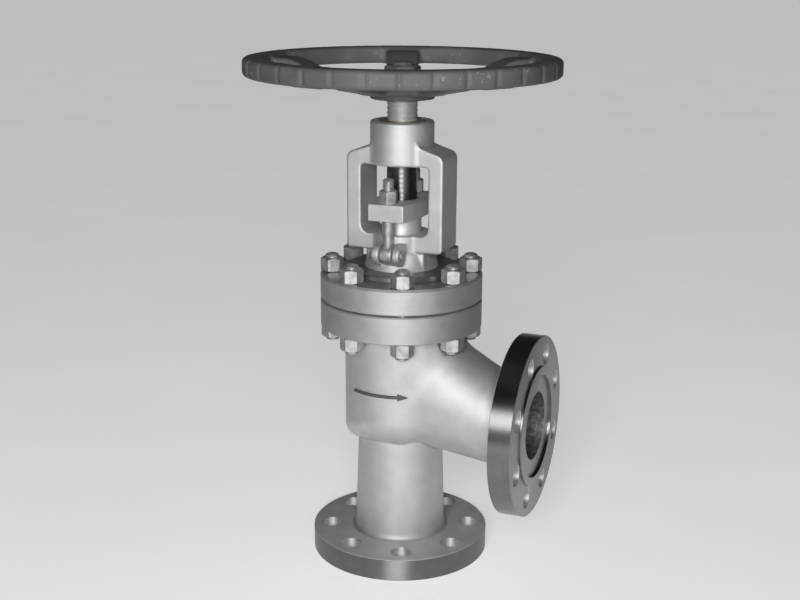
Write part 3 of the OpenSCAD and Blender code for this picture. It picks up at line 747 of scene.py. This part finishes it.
def finish_flange(piece):
    """Gives a flange's turned sides, its bolt holes, its back and its bore finishes of their own."""
    mesh = piece.data
    on_side, in_hole, on_back, in_bore = 1, 2, 3, 4
    # The dark side, the pale holes and the pale back carry painted shade and painted light.
    for material in (edge_steel_painted_dark, drilled_steel_painted_pale, backed_steel_painted_pale, raw_casting):
        mesh.materials.append(material)
    for face in mesh.polygons:
        spots = np.array([mesh.vertices[i].co for i in face.vertices]) / MM
        if spots[:, 2].min() > FLANGE_T - RIM_EDGE - 0.1:
            face.material_index = on_back
        if abs(face.normal.z) < 0.3:
            face.material_index = on_side
        if np.hypot(spots[:, 0], spots[:, 1]).max() < BORE_R + 0.1:
            face.material_index = in_bore
        for u, v, _ in bolt_places:
            if np.hypot(spots[:, 0] - u, spots[:, 1] - v).max() < BOLT_HOLE_R + 2 * EASE + 0.1:
                face.material_index = in_hole


on_outlet = Matrix.Translation((OUTLET_X * MM, 0, OUTLET_Z * MM)) @ Matrix.Rotation(-math.pi / 2, 4, "Y")
for name, place in (("inlet_flange", None), ("outlet_flange", on_outlet)):
    finish_flange(make_piece(name, end_flange(), HOUSING, faced_steel, place=place))

# %% [markdown]
# ## Body flange and bonnet flange
# The joint of body and bonnet is two heavy rings with the gasket set back between them, which leaves
# the thin dark line round the middle. Both are turned rings with eased edges, and the bonnet's ring
# carries the low step that the hub stands on. Its top was faced bare and is made darker than the rim,
# partly as painted shade on the top.

# %% Joint flanges
GASKET_T = 3.0
BONNET_Z = BODY_TOP + GASKET_T
FLANGE_TOP = BONNET_Z + 37.0
STEP_R = 82.0
HUB_Z = FLANGE_TOP + 9.0
EDGE = 1.6
RING_BORE_R = 40.0
body_ring = [(CAVITY_R - 0.5, JOINT_UNDER), (JOINT_R - EDGE, JOINT_UNDER), (JOINT_R, JOINT_UNDER + EDGE)]
body_ring += [(JOINT_R, BODY_TOP - EDGE), (JOINT_R - EDGE, BODY_TOP), (CAVITY_R - 0.5, BODY_TOP)]
bonnet_ring = [(RING_BORE_R, BONNET_Z), (JOINT_R - EDGE, BONNET_Z), (JOINT_R, BONNET_Z + EDGE)]
bonnet_ring += [(JOINT_R, FLANGE_TOP - 2 * EDGE), (JOINT_R - 2 * EDGE, FLANGE_TOP)]
bonnet_ring += [(STEP_R + 2, FLANGE_TOP), (STEP_R, FLANGE_TOP + 2)]
bonnet_ring += [(STEP_R, HUB_Z - EDGE), (STEP_R - EDGE, HUB_Z), (RING_BORE_R, HUB_Z)]
make_piece("body_joint_flange", lathe(body_ring, FLANGE_SIDES), HOUSING, joint_steel)
bonnet_flange = make_piece(
    "bonnet_joint_flange", lathe(bonnet_ring, FLANGE_SIDES), HOUSING, joint_steel
)
# Painted shade: the top inside the rim takes the darker faced steel, partly standing in for shade on it.
bonnet_flange.data.materials.append(faced_steel)
for face in bonnet_flange.data.polygons:
    faced_and_shaded_top = face.center.xy.length < (JOINT_R - 2 * EDGE) * MM
    face.material_index = int(faced_and_shaded_top)

# %% [markdown]
# ## The yoke casting
# Above the flange the bonnet is one casting: a conical hub round the stuffing box, two flat arms that
# frame the window, and the boss that holds the stem nut. Four ears on the hub carry the eyebolt pins.
# The arms' side view is an outline with arcs, given depth and a small round on every edge.

# %% Yoke casting
ARM_IN, ARM_OUT, ARM_HALF_D = 51.5, 73.5, 31.5
WINDOW_LOW, WINDOW_HIGH, LOW_ROUND, HIGH_ROUND = 497.0, 597.0, 12.0, 5.0
FOOT_IN, FOOT_Z, FOOT_ROUND = 19.0, 473.4, 7.0
ROOT_OUT, ROOT_BACK = 45.0, 4.0
HUB_FOOT_R, HUB_TOP_R, HUB_H = 54.0, 46.0, 24.0
BOX_R = 43.5
BOSS_R = 46.0
PACKING_R = STEM_R + 7.0
STEM_NUT_R = 34.0
SCREW_R, SCREW_TURN = 4.2, math.radians(52)
PIN_Y, PIN_Z, PIN_R = 52.0, 472.0, 7.0
EAR_IN, EAR_T, EAR_R, EAR_BACK, SCOOP_R = 10.0, 11.0, 14.5, 30.0, 14.7
SHOULDER_R, SHOULDER_Z, RAMP_Z, CROWN_Z = 12.0, 604.0, 620.0, 634.0
BOSS_X = math.sqrt(BOSS_R**2 - ARM_HALF_D**2)
yoke_outline = (
    [(FOOT_IN, FOOT_Z)]
    + arc(ARM_OUT - FOOT_ROUND, FOOT_Z + FOOT_ROUND, FOOT_ROUND, -90, 0)
    + arc(ARM_OUT - SHOULDER_R, SHOULDER_Z, SHOULDER_R, 0, 74)
    + [(BOSS_X + 17, RAMP_Z), (BOSS_X + 5.5, RAMP_Z + 4), (BOSS_X - 3, CROWN_Z), (BOSS_X - 12, CROWN_Z)]
    + [(BOSS_X - 12, WINDOW_HIGH)]
    + arc(ARM_IN - HIGH_ROUND, WINDOW_HIGH - HIGH_ROUND, HIGH_ROUND, 90, 0)
    + arc(ARM_IN - LOW_ROUND, WINDOW_LOW + LOW_ROUND, LOW_ROUND, 0, -90)
    + [(FOOT_IN, WINDOW_LOW)]
)
hub_outline = [(0, HUB_Z - 2), (HUB_FOOT_R, HUB_Z - 2), (HUB_FOOT_R, HUB_Z), (HUB_TOP_R, HUB_Z + HUB_H)]
hub_outline += [(BOX_R, HUB_Z + HUB_H + 3), (BOX_R, WINDOW_LOW), (0, WINDOW_LOW)]


def yoke_field(x, y, z):
    """Hub, arms, boss and ears, less the bores for packing, stem nut, screw and pins."""
    ax, ay, r = np.abs(x), np.abs(y), np.hypot(x, y)
    hub = in_outline(r, z, hub_outline)
    arms = within(in_outline(ax, z, yoke_outline), ay - ARM_HALF_D, 2.2)
    root = within(between(ax, FOOT_IN, ROOT_OUT), ay - ARM_HALF_D + ROOT_BACK, 3)
    root = within(root, between(z, HUB_Z - 2, FOOT_Z + 6))
    boss = within(r - BOSS_R, between(z, WINDOW_HIGH, BOSS_TOP), 3.5)
    ear = np.hypot(np.maximum(ay - PIN_Y, 0), z - PIN_Z) - EAR_R
    ear = within(ear, between(ax, EAR_IN, EAR_IN + EAR_T), 2.0)
    ear = within(ear, np.maximum(EAR_BACK - ay, HUB_Z - 2 - z))
    metal = fused(fused(hub, root, 4), arms, 2.5)
    metal = fused(metal, ear, 4)
    from_pin = np.hypot(ay - PIN_Y, z - PIN_Z)
    scoop = within(from_pin - SCOOP_R, ax - EAR_IN + 0.3)
    metal = carved(metal, scoop, 2)
    metal = carved(metal, within(r - PACKING_R, HUB_Z - 10 - z), 2)
    metal = fused(metal, boss, 4)
    metal = carved(metal, within(r - STEM_NUT_R, WINDOW_HIGH - 4 - z), 1.5)
    screw = np.hypot(x - STEM_NUT_R * math.cos(SCREW_TURN), y - STEM_NUT_R * math.sin(SCREW_TURN))
    metal = carved(metal, within(screw - SCREW_R, BOSS_TOP - 16 - z), 1)
    return carved(metal, from_pin - PIN_R, 1)


yoke_shape = skin(yoke_field, (-80, -72, 441), (80, 72, 664), 1.9)
make_piece("yoke_casting", yoke_shape, HOUSING, aluminium_paint, ["bonnet"], crease=60)

# %% [markdown]
# ## Nuts and threads
# A hexagon nut is a loft of eight rings: the ring that follows the hexagon is lowered more at its
# corners, which gives the curved chamfer line that real nuts have. A thread is a loft as well, with
# a radius that falls into a groove along the helix. Both are used for every fastener and for the stem.

# %% Nut and thread helpers
CHAMFER_SLOPE = math.tan(math.radians(30))
CORNER_SHARE, FACE_SHARE, BORE_LEAD = 0.985, 0.47, 1.2


def hex_nut(across, height, bore, per_flat=8):
    """A chamfered hexagon nut standing on z = 0, with a flat facing X."""
    sides = 6 * per_flat
    turn = np.arange(sides) * 2 * math.pi / sides
    off_flat = np.mod(turn + math.pi / 6, math.pi / 3) - math.pi / 6
    corner_r = across / 2 / math.cos(math.pi / 6) * CORNER_SHARE
    reach = np.minimum(across / 2 / np.cos(off_flat), corner_r)
    flat_r = FACE_SHARE * across
    drop = (reach - flat_r) * CHAMFER_SLOPE
    low, high = ring(reach, 0.0, sides), ring(reach, height, sides)
    low[:, 2] += drop
    high[:, 2] -= drop
    mouth_r = bore + BORE_LEAD
    under = [ring(bore, BORE_LEAD, sides), ring(mouth_r, 0.0, sides), ring(flat_r, 0.0, sides)]
    over = [ring(flat_r, height, sides), ring(mouth_r, height, sides), ring(bore, height - BORE_LEAD, sides)]
    return loft(under + [low, high] + over, hollow=True)


def thread_rings(low, high, pitch, crest, depth, sides, rows=10, fade=1.0, flank=0.14):
    """Rings of a right-hand thread that runs out over its last turns. Flanks are shares of the pitch."""
    share = np.arange(sides) / sides
    rings = []
    for z in np.arange(low, high + 0.01, pitch / rows):
        phase = np.mod(z / pitch - share, 1)
        groove = np.clip((0.25 + flank / 2 - np.abs(phase - 0.5)) / flank, 0, 1)
        ends = min((z - low) / (fade * pitch), (high - z) / (fade * pitch), 1)
        rings.append(ring(crest - depth * groove * max(ends, 0), z, sides))
    return rings


print("nut and thread helpers ready")

# %% [markdown]
# ## Studs and stud nuts
# Eight M20 studs hold the joint, each with a nut above and below. A fitter stops each nut where it is
# tight, so every nut has its own turn. The turns of the front ones follow the photograph.

# %% Studs and nuts
STUD_R, STUD_PITCH, STUD_GROOVE = 10.0, 2.5, 1.3
STUD_SIDES, STUD_RUN, STUD_TIP = 28, 28.0, 2.0
NUT_AF, NUT_H = 30.0, 20.0
NUT_TURNS = [-2, 10, 20, 22, 3, -10, -7, -9]


def stud():
    """One stud with a rolled thread on both ends and domed tips."""
    low, high = stud_low[2], stud_high[2]
    rings = [ring(STUD_R - 4, low, STUD_SIDES), ring(STUD_R - 1.6, low + STUD_TIP / 2, STUD_SIDES)]
    for start, end in ((low + STUD_TIP, low + STUD_RUN), (high - STUD_RUN, high - STUD_TIP)):
        rings += thread_rings(start, end, STUD_PITCH, STUD_R, STUD_GROOVE, STUD_SIDES, 8, 0.6)
    rings += [ring(STUD_R - 1.6, high - STUD_TIP / 2, STUD_SIDES), ring(STUD_R - 4, high, STUD_SIDES)]
    return loft(rings)


studs, upper_nuts, lower_nuts = [], [], []
for k in range(STUD_COUNT):
    angle = math.pi * (2 * k + 1) / STUD_COUNT
    x, y = STUD_CIRCLE_R * math.cos(angle), STUD_CIRCLE_R * math.sin(angle)
    nut = hex_nut(NUT_AF, NUT_H, STUD_R - 0.4)
    studs.append(moved(stud(), (x, y, 0), NUT_TURNS[k]))
    upper_nuts.append(moved(nut, (x, y, FLANGE_TOP), NUT_TURNS[k]))
    lower_nuts.append(moved(nut, (x, y, JOINT_UNDER - NUT_H), NUT_TURNS[k]))
for name, shapes in (
    ("bonnet_studs", studs),
    ("bonnet_nuts_upper", upper_nuts),
    ("bonnet_nuts_lower", lower_nuts),
):
    make_piece(name + "_dressed", joined(shapes), HOUSING, fastener_steel, [name])

# %% [markdown]
# ## Gland plate
# The gland is pressed down by a plate that two swinging eyebolts pull on. The plate is a flame-cut bar,
# wider at its waist, so a drilled outline with a bevel on its edges gives it.

# %% Gland plate
PLATE_END, PLATE_WAIST, PLATE_WAIST_LEN = 27.0, 36.0, 13.0
EYEBOLT_R = 8.0
plate_half = gland_high[1]
plate_outline = [(-PLATE_END, -plate_half), (PLATE_END, -plate_half)]
plate_outline += [(PLATE_WAIST, -PLATE_WAIST_LEN), (PLATE_WAIST, PLATE_WAIST_LEN)]
plate_outline += [(-u, -v) for u, v in plate_outline]
plate_rings = [np.array([(u, v, z) for u, v in plate_outline]) for z in (gland_low[2], gland_high[2])]
holes = [(0.0, STEM_R + 2)] + [(side * PIN_Y, EYEBOLT_R + 1) for side in (-1, 1)]
cutters = [moved(drill(radius, gland_low[2], gland_high[2]), (0, y, 0)) for y, radius in holes]
plate_shape = drilled(loft(plate_rings), cutters)
gland_plate = make_piece(
    "gland_plate", plate_shape, HOUSING, aluminium_paint, ["gland_flange"]
)
bevel = gland_plate.modifiers.new("flame-cut edge", "BEVEL")
bevel.width, bevel.segments, bevel.angle_limit = 1.6 * MM, 3, math.radians(50)

# %% [markdown]
# ## Eyebolts, pins and gland nuts
# Each eyebolt is a turned shank with a rolled thread that ends in a barrel-shaped eye round its pin.
# Shank and eye are two lofts that run into each other, because their joint is hidden between the ears.

# %% Eyebolts, pins and gland nuts
EYE_R, EYE_HALF_W, EYE_ROUND = 13.5, 9.0, 2.5
EYEBOLT_TOP = span("gland_eyebolts")[1][2]
EYEBOLT_PITCH, EYEBOLT_GROOVE, EYEBOLT_THREAD_Z = 2.0, 1.1, 532.0
EYEBOLT_SIDES = 36
GLAND_NUT_AF, GLAND_NUT_H, GLAND_NUT_TURN = 24.0, 19.0, 10.0
PIN_OUT, PIN_HEAD_R = EAR_IN + EAR_T, 9.5
plain = [(EYEBOLT_R - 0.4, PIN_Z + 9), (EYEBOLT_R - 0.4, EYEBOLT_THREAD_Z - 2)]
tip = [(EYEBOLT_R - 1.4, EYEBOLT_TOP - 1.4), (EYEBOLT_R - 4, EYEBOLT_TOP)]
shank = [ring(radius, z, EYEBOLT_SIDES) for radius, z in plain]
shank += thread_rings(
    EYEBOLT_THREAD_Z, EYEBOLT_TOP - 3, EYEBOLT_PITCH, EYEBOLT_R, EYEBOLT_GROOVE, EYEBOLT_SIDES, 8, 0.6
)
shank += [ring(radius, z, EYEBOLT_SIDES) for radius, z in tip]
eye = lathe(
    [(PIN_R, -EYE_HALF_W + 1), (PIN_R + 1, -EYE_HALF_W), (EYE_R - EYE_ROUND, -EYE_HALF_W)]
    + arc(EYE_R - EYE_ROUND, -EYE_HALF_W + EYE_ROUND, EYE_ROUND, -90, 0, 4)
    + arc(EYE_R - EYE_ROUND, EYE_HALF_W - EYE_ROUND, EYE_ROUND, 0, 90, 4)
    + [(PIN_R + 1, EYE_HALF_W), (PIN_R, EYE_HALF_W - 1)],
    sides=48,
)
pin = lathe(
    [(PIN_HEAD_R - 1.2, -PIN_OUT - 3), (PIN_HEAD_R, -PIN_OUT - 2), (PIN_HEAD_R, -PIN_OUT)]
    + [(PIN_R - 0.1, -PIN_OUT), (PIN_R - 0.1, PIN_OUT + 2), (PIN_R - 1.1, PIN_OUT + 3)],
    sides=40,
    hollow=False,
)
eyebolts, pins, gland_nuts = [], [], []
for side in (-1, 1):
    eyebolts += [moved(loft(shank), (0, side * PIN_Y, 0)), moved(eye, (0, side * PIN_Y, PIN_Z), tip=90)]
    pins.append(moved(pin, (0, side * PIN_Y, PIN_Z), tip=90))
    nut = hex_nut(GLAND_NUT_AF, GLAND_NUT_H, EYEBOLT_R - 0.3)
    gland_nuts.append(moved(nut, (0, side * PIN_Y, gland_high[2]), GLAND_NUT_TURN))
for name, shapes in (("gland_eyebolts", eyebolts), ("eyebolt_pins", pins), ("gland_nuts", gland_nuts)):
    make_piece(name + "_dressed", joined(shapes), HOUSING, fastener_steel, [name])

# %% [markdown]
# ## Gland bush
# The bush that presses the packing is a plain turned sleeve. It shows between the plate and the
# stuffing box, so it gets eased edges and a pale lathe finish, which is partly painted light.

# %% Gland bush
bush_low, bush_high = span("gland_bush")
bush_r = bush_high[0]
bush_bore = STEM_R + 0.6
bush = [(bush_bore, bush_low[2]), (bush_r, bush_low[2]), (bush_r, bush_high[2] - 1)]
bush += [(bush_r - 1, bush_high[2]), (bush_bore, bush_high[2])]
make_piece("gland_sleeve", lathe(bush, 64), HOUSING, bush_steel_painted_pale, ["gland_bush"])

# %% [markdown]
# ## The stem
# The stem carries the disc at its foot and the handwheel at its head, and its long trapezoidal thread
# screws it up through the stem nut. The thread is a true right-hand helix with the 7 mm lead that the
# motion uses, and it runs out just above the gland plate when the valve is shut. Grease fills it inside
# the yoke, so it is drawn only 0.2 mm deep there and 1.2 mm deep on the wiped stretch above.

# %% Stem
THREAD_PITCH = 7.0
GREASED_DEPTH, WIPED_DEPTH = 0.2, 1.2
THREAD_LOW = gland_high[2] - 1.0
HUB_LOW = wheel_low[2]
HUB_HIGH = HUB_LOW + 29.0
COLLAR_R, COLLAR_LOW, COLLAR_HIGH = 28.0, 352.2, 372.2
foot = stem_low[2]
stem_outline = [(19, foot), (20, foot + 1), (20, foot + 5.7)]
stem_outline += [(16, foot + 5.7), (16, foot + 11.7), (20, foot + 11.7)]
stem_outline += [(20, foot + 40), (STEM_R, foot + 43), (STEM_R, COLLAR_LOW - 4)]
stem_outline += [(COLLAR_R, COLLAR_LOW), (COLLAR_R, COLLAR_HIGH), (STEM_R, COLLAR_HIGH + 6)]
head_outline = [(STEM_R - 1, HUB_LOW - 3), (STEM_R - 1, HUB_LOW), (18, HUB_LOW), (18, HUB_HIGH - 1)]
head_outline += [(15, HUB_HIGH), (15, stem_high[2] - 2), (13, stem_high[2])]
STEM_SIDES = 72
stem_rings = [ring(radius, z, STEM_SIDES) for radius, z in stem_outline]
threads = [(THREAD_LOW, GREASE_EDGE, GREASED_DEPTH), (GREASE_EDGE, HUB_LOW - 4, WIPED_DEPTH)]
for low, high, depth in threads:
    stem_rings += thread_rings(low, high, THREAD_PITCH, STEM_R, depth, STEM_SIDES, 14, 0.7, flank=0.4)
stem_rings += [ring(radius, z, STEM_SIDES) for radius, z in head_outline]
make_piece("stem_screw", loft(stem_rings), STEM_GROUP, stem_steel, ["stem"], crease=40)

# %% [markdown]
# ## The handwheel
# The wheel is one iron casting: a rounded rim with shallow grip waves round its outside, five flat
# spokes that rise from the hub to the rim, and fillets wherever they meet. It is a distance field
# again, folded five times round the axis so that one spoke is written once.

# %% Handwheel
SPOKES, GRIPS = 5, 32
WHEEL_TURN = math.radians(111.6)
RIM_HALF_W, RIM_HALF_H, RIM_ROUND, RIM_DROP = 16.5, 12.6, 6.0, 13.2
RIM_R = WHEEL_R - RIM_HALF_W
RIM_Z = WHEEL_TOP - RIM_DROP
WHEEL_HUB_R, WHEEL_BORE_R, WEB_R = 46.0, 18.1, 72.0
WEB_LOW, WEB_HIGH = HUB_LOW + 10.0, HUB_HIGH - 1.0
SPOKE_HALF_W, SPOKE_TOP, DISH_IN, DISH_OUT = 24.0, WHEEL_TOP - 6.0, 95.0, 175.0
GRIP_DEEP, GRIP_HALF, GRIP_TURN = 2.2, 3.4, math.radians(4.4)


def smooth_step(low, high, value):
    """Rises from 0 to 1 between two values, without a kink at either."""
    part = np.clip((value - low) / (high - low), 0, 1)
    return part * part * (3 - 2 * part)


def wheel_field(x, y, z):
    """Rim with grip waves, dished spokes, web and hub, less the bore."""
    r, turn = np.hypot(x, y), np.arctan2(y, x) - WHEEL_TURN
    grip = 2 * math.pi / GRIPS
    arc_off = (np.mod(turn - GRIP_TURN, grip) - grip / 2) * WHEEL_R
    wave = GRIP_DEEP * np.exp(-((arc_off / GRIP_HALF) ** 2)) * smooth_step(RIM_R - 8, RIM_R + 8, r)
    rim = within(np.abs(r - RIM_R) - RIM_HALF_W + wave, np.abs(z - RIM_Z) - RIM_HALF_H, RIM_ROUND)
    fold = np.mod(turn + math.pi / SPOKES, 2 * math.pi / SPOKES) - math.pi / SPOKES
    along, aside = r * np.cos(fold), r * np.sin(fold)
    over = WEB_HIGH + (SPOKE_TOP - WEB_HIGH) * smooth_step(DISH_IN, DISH_OUT, along)
    under = np.interp(along, [WEB_R, 120, 160, RIM_R], [WEB_LOW, WEB_LOW + 9, RIM_Z - 15, RIM_Z - 12])
    spoke = within(np.abs(aside) - SPOKE_HALF_W, between(z, under, over), 4.0)
    spoke = within(spoke, along - RIM_R)
    hub = within(r - WHEEL_HUB_R, between(z, HUB_LOW, HUB_HIGH), 2.0)
    web = within(r - WEB_R, between(z, WEB_LOW, WEB_HIGH), 3.0)
    metal = fused(fused(web, hub, 2.5), spoke, 7)
    metal = fused(metal, rim, 10)
    return carved(metal, r - WHEEL_BORE_R, 1)


wheel_shape = skin(wheel_field, (-230, -230, HUB_LOW - 4), (230, 230, WHEEL_TOP + 4), 2.6)
make_piece(
    "handwheel_dressed", wheel_shape, STEM_GROUP, wheel_enamel, ["handwheel"], crease=60
)

# %% [markdown]
# ## Wheel nut and washer
# A plain washer and a hexagon nut hold the wheel on the stem. They were painted together with the wheel,
# so they get its enamel, and they rise and turn with it.

# %% Wheel nut and washer
WHEEL_NUT_AF, WHEEL_NUT_BORE = 46.0, 15.0
washer_low, washer_high = span("handwheel_washer")
wheel_nut_low, wheel_nut_high = span("handwheel_nut")
washer_r, washer_bore, washer_edge = washer_high[0], WHEEL_NUT_BORE + 0.3, 0.5
washer = [(washer_bore, washer_low[2]), (washer_r - washer_edge, washer_low[2])]
washer += [(washer_r, washer_low[2] + washer_edge), (washer_r, washer_high[2] - washer_edge)]
washer += [(washer_r - washer_edge, washer_high[2]), (washer_bore, washer_high[2])]
make_piece(
    "wheel_washer", lathe(washer, 64), STEM_GROUP, wheel_enamel, ["handwheel_washer"]
)
wheel_nut_h = wheel_nut_high[2] - wheel_nut_low[2]
wheel_nut = moved(hex_nut(WHEEL_NUT_AF, wheel_nut_h, WHEEL_NUT_BORE), (0, 0, wheel_nut_low[2]))
make_piece("wheel_nut", wheel_nut, STEM_GROUP, wheel_enamel, ["handwheel_nut"])

# %% [markdown]
# ## The flow arrow
# A plain arrow is cast on the front of the bowl to show which way the fluid goes. It is a low rib bent
# round the bowl, lofted from tail to tip with sloping sides as a pattern maker would draw it, and its
# face is dark grey: marking paint, and painted shade of the raised rib.

# %% Flow arrow
ARROW_TAIL, ARROW_TIP = math.radians(-122.3), math.radians(-61.0)
ARROW_Z = 268.7
ARROW_HALF, HEAD_HALF, HEAD_LEN = 2.2, 5.5, 16.0
ARROW_PROUD, ARROW_SUNK = 2.2, 1.5
PAINT_PATCH = 4.0
arrow_len = (ARROW_TIP - ARROW_TAIL) * BOWL_R
head_from = arrow_len - HEAD_LEN
stations = [(s, ARROW_HALF) for s in np.linspace(0, head_from, 24)]
stations += [(s, HEAD_HALF * (arrow_len - s) / HEAD_LEN) for s in np.linspace(head_from, arrow_len - 0.3, 8)]
face_r, root_r = BOWL_R + ARROW_PROUD, BOWL_R - ARROW_SUNK
arrow_rings = []
for s, half in stations:
    angle = ARROW_TAIL + s / BOWL_R
    section = [(root_r, -half - 1), (face_r, -half * 0.8), (face_r, half * 0.8), (root_r, half + 1)]
    corners = [(u * math.cos(angle), u * math.sin(angle), ARROW_Z + v) for u, v in section]
    arrow_rings.append(np.array(corners))
# Painted shade: the dark grey face also stands in for the shade of the raised rib.
arrow_paint_and_shade = mottled_material(
    "dark_grey_marking_enamel_and_painted_shade", PAINT_PATCH, ("#4a4a4a", "#6c6c6c"), gloss=(0.45, 0.65), Metallic=0.2
)
make_piece("flow_arrow", loft(arrow_rings), HOUSING, arrow_paint_and_shade)

# %% [markdown]
# ## Pieces that keep their solids
# Inside the valve the solids are already the right shape: seat, disc, packing and the stem nut. They
# stay, and only get the finish that such a piece has.

# %% Finish the solids that stay
finishes = {
    "seat_ring": turned_steel,
    "disc": turned_steel,
    "disc_nut": turned_steel,
    "disc_split_ring": turned_steel,
    "backseat_bush": turned_steel,
    "packing_washer": turned_steel,
    "bonnet_gasket": graphite,
    "packing_rings": graphite,
    "stem_nut": bronze,
    "stem_nut_screw": fastener_steel,
    "handwheel_key": fastener_steel,
}
for name, material in finishes.items():
    mesh = frame["nodes"][name].data
    mesh.materials.clear()
    mesh.materials.append(material)
print("finished", len(finishes), "solids")

# %% [markdown]
# ## Floor and backdrop
# The valve stands on a plain pale floor that runs out to a low pale wall far behind it, so that no view
# ends in a dark band. A lamp strong enough to make the floor this pale would burn out the silver paint.
# So the floor's paint glows a little, but only for the camera and for mirror rays: the metal shows the
# same pale floor, the valve keeps its shadow on it, and no lamp is turned up for it.

# %% Floor
FLOOR_R, FLOOR_Z, BACKDROP_H = 30000.0, -0.2, 3500.0
FLOOR_LIFT, FLOOR_CLOUD = 0.68, 300.0


def stage_piece(name, points, faces, material):
    """Something of the studio, which isn't part of the valve."""
    mesh = bpy.data.meshes.new(name)
    mesh.from_pydata((np.asarray(points) * MM).tolist(), [], faces)
    mesh.materials.append(material)
    made = bpy.data.objects.new(name, mesh)
    scene.collection.objects.link(made)
    return made


floor_paint, tree, pale = new_material("pale_grey_floor_paint", Roughness=0.9, Specular_IOR_Level=0.1)
at = add(tree, "TexCoord", {})["Object"]
cloud = add(tree, "TexNoise", {"Vector": at, "Scale": 1 / (FLOOR_CLOUD * MM), "Detail": 2.0})["Fac"]
colour = add(tree, "Mix", {FAC: cloud, A: linear("#d8d8d8"), B: linear("#dedede")}, data_type="RGBA")[MIXED]
tree.links.new(colour, pale["Base Color"])
tree.links.new(colour, pale["Emission Color"])
ray = add(tree, "LightPath", {})
seen = add(tree, "Math", {0: ray["Is Camera Ray"], 1: ray["Is Glossy Ray"]}, operation="MAXIMUM")[0]
seen = add(tree, "Math", {0: seen, 1: ray["Is Transmission Ray"]}, operation="MAXIMUM")[0]
lift = add(tree, "Math", {0: seen, 1: FLOOR_LIFT}, operation="MULTIPLY")[0]
tree.links.new(lift, pale["Emission Strength"])
points, faces = loft([ring(FLOOR_R, FLOOR_Z), ring(FLOOR_R, BACKDROP_H)])
without_lid = faces[:-1]
stage_piece("floor", points, without_lid, floor_paint)
print("floor of", 2 * FLOOR_R * MM, "m")

# %% [markdown]
# ## Light
# One big softbox stands behind the camera, a little to its left, and shows as one soft streak in every
# turned rim. Bright metal mirrors whatever stands round it, so two black flags at the sides, which only
# reflections see, keep the flanks of the valve dark. The room is dim and darker overhead, so that tops
# stay darker than the front.

# %% Light
BOX_LEFT, BOX_DISTANCE, BOX_HEIGHT = math.radians(5), 2600.0, 1250.0
BOX_WIDE, BOX_TALL = 1100.0, 1000.0
BOX_WATTS = 62.0
FLAG_SIDE, FLAG_HALF, FLAG_TALL = 1050.0, 1700.0, 1700.0
WEAVE = 8.0
softbox = bpy.data.objects.new("softbox", bpy.data.lights.new("softbox", "AREA"))
softbox.data.shape = "RECTANGLE"
softbox.data.size, softbox.data.size_y = BOX_WIDE * MM, BOX_TALL * MM
softbox.data.energy = BOX_WATTS
softbox.visible_camera = False
softbox.matrix_world = (
    Matrix.Rotation(VIEW_TURN - BOX_LEFT, 4, "Z")
    @ Matrix.Translation((0, -BOX_DISTANCE * MM, BOX_HEIGHT * MM))
    @ Matrix.Rotation(math.pi / 2, 4, "X")
)
scene.collection.objects.link(softbox)

flag_cloth = mottled_material(
    "black_flag_cloth", WEAVE, ("#161616", "#202020"), detail=2.0, Roughness=0.95, Specular_IOR_Level=0.1
)
reach = [(-FLAG_HALF, 0), (FLAG_HALF, 0), (FLAG_HALF, FLAG_TALL), (-FLAG_HALF, FLAG_TALL)]
for side in (-1, 1):
    corners = [(side * FLAG_SIDE, v, w) for v, w in reach]
    flag = stage_piece("flag", corners, [(0, 1, 2, 3)], flag_cloth)
    flag.matrix_world = Matrix.Rotation(VIEW_TURN, 4, "Z")
    flag.visible_camera = False
    flag.visible_shadow = False
    flag.visible_diffuse = False

room = bpy.data.worlds.new("dim_studio")
room.use_nodes = True
scene.world = room
tree = room.node_tree
up = add(tree, "SeparateXYZ", {0: add(tree, "TexCoord", {})["Generated"]})["Z"]
high = add(tree, "MapRange", {"Value": up, "From Min": 0.0, "From Max": 0.6})[0]
colour = add(tree, "Mix", {FAC: high, A: linear("#484848"), B: linear("#343434")}, data_type="RGBA")[MIXED]
tree.links.new(colour, tree.nodes["Background"].inputs["Color"])
print("lit by", softbox.name, "in", room.name)
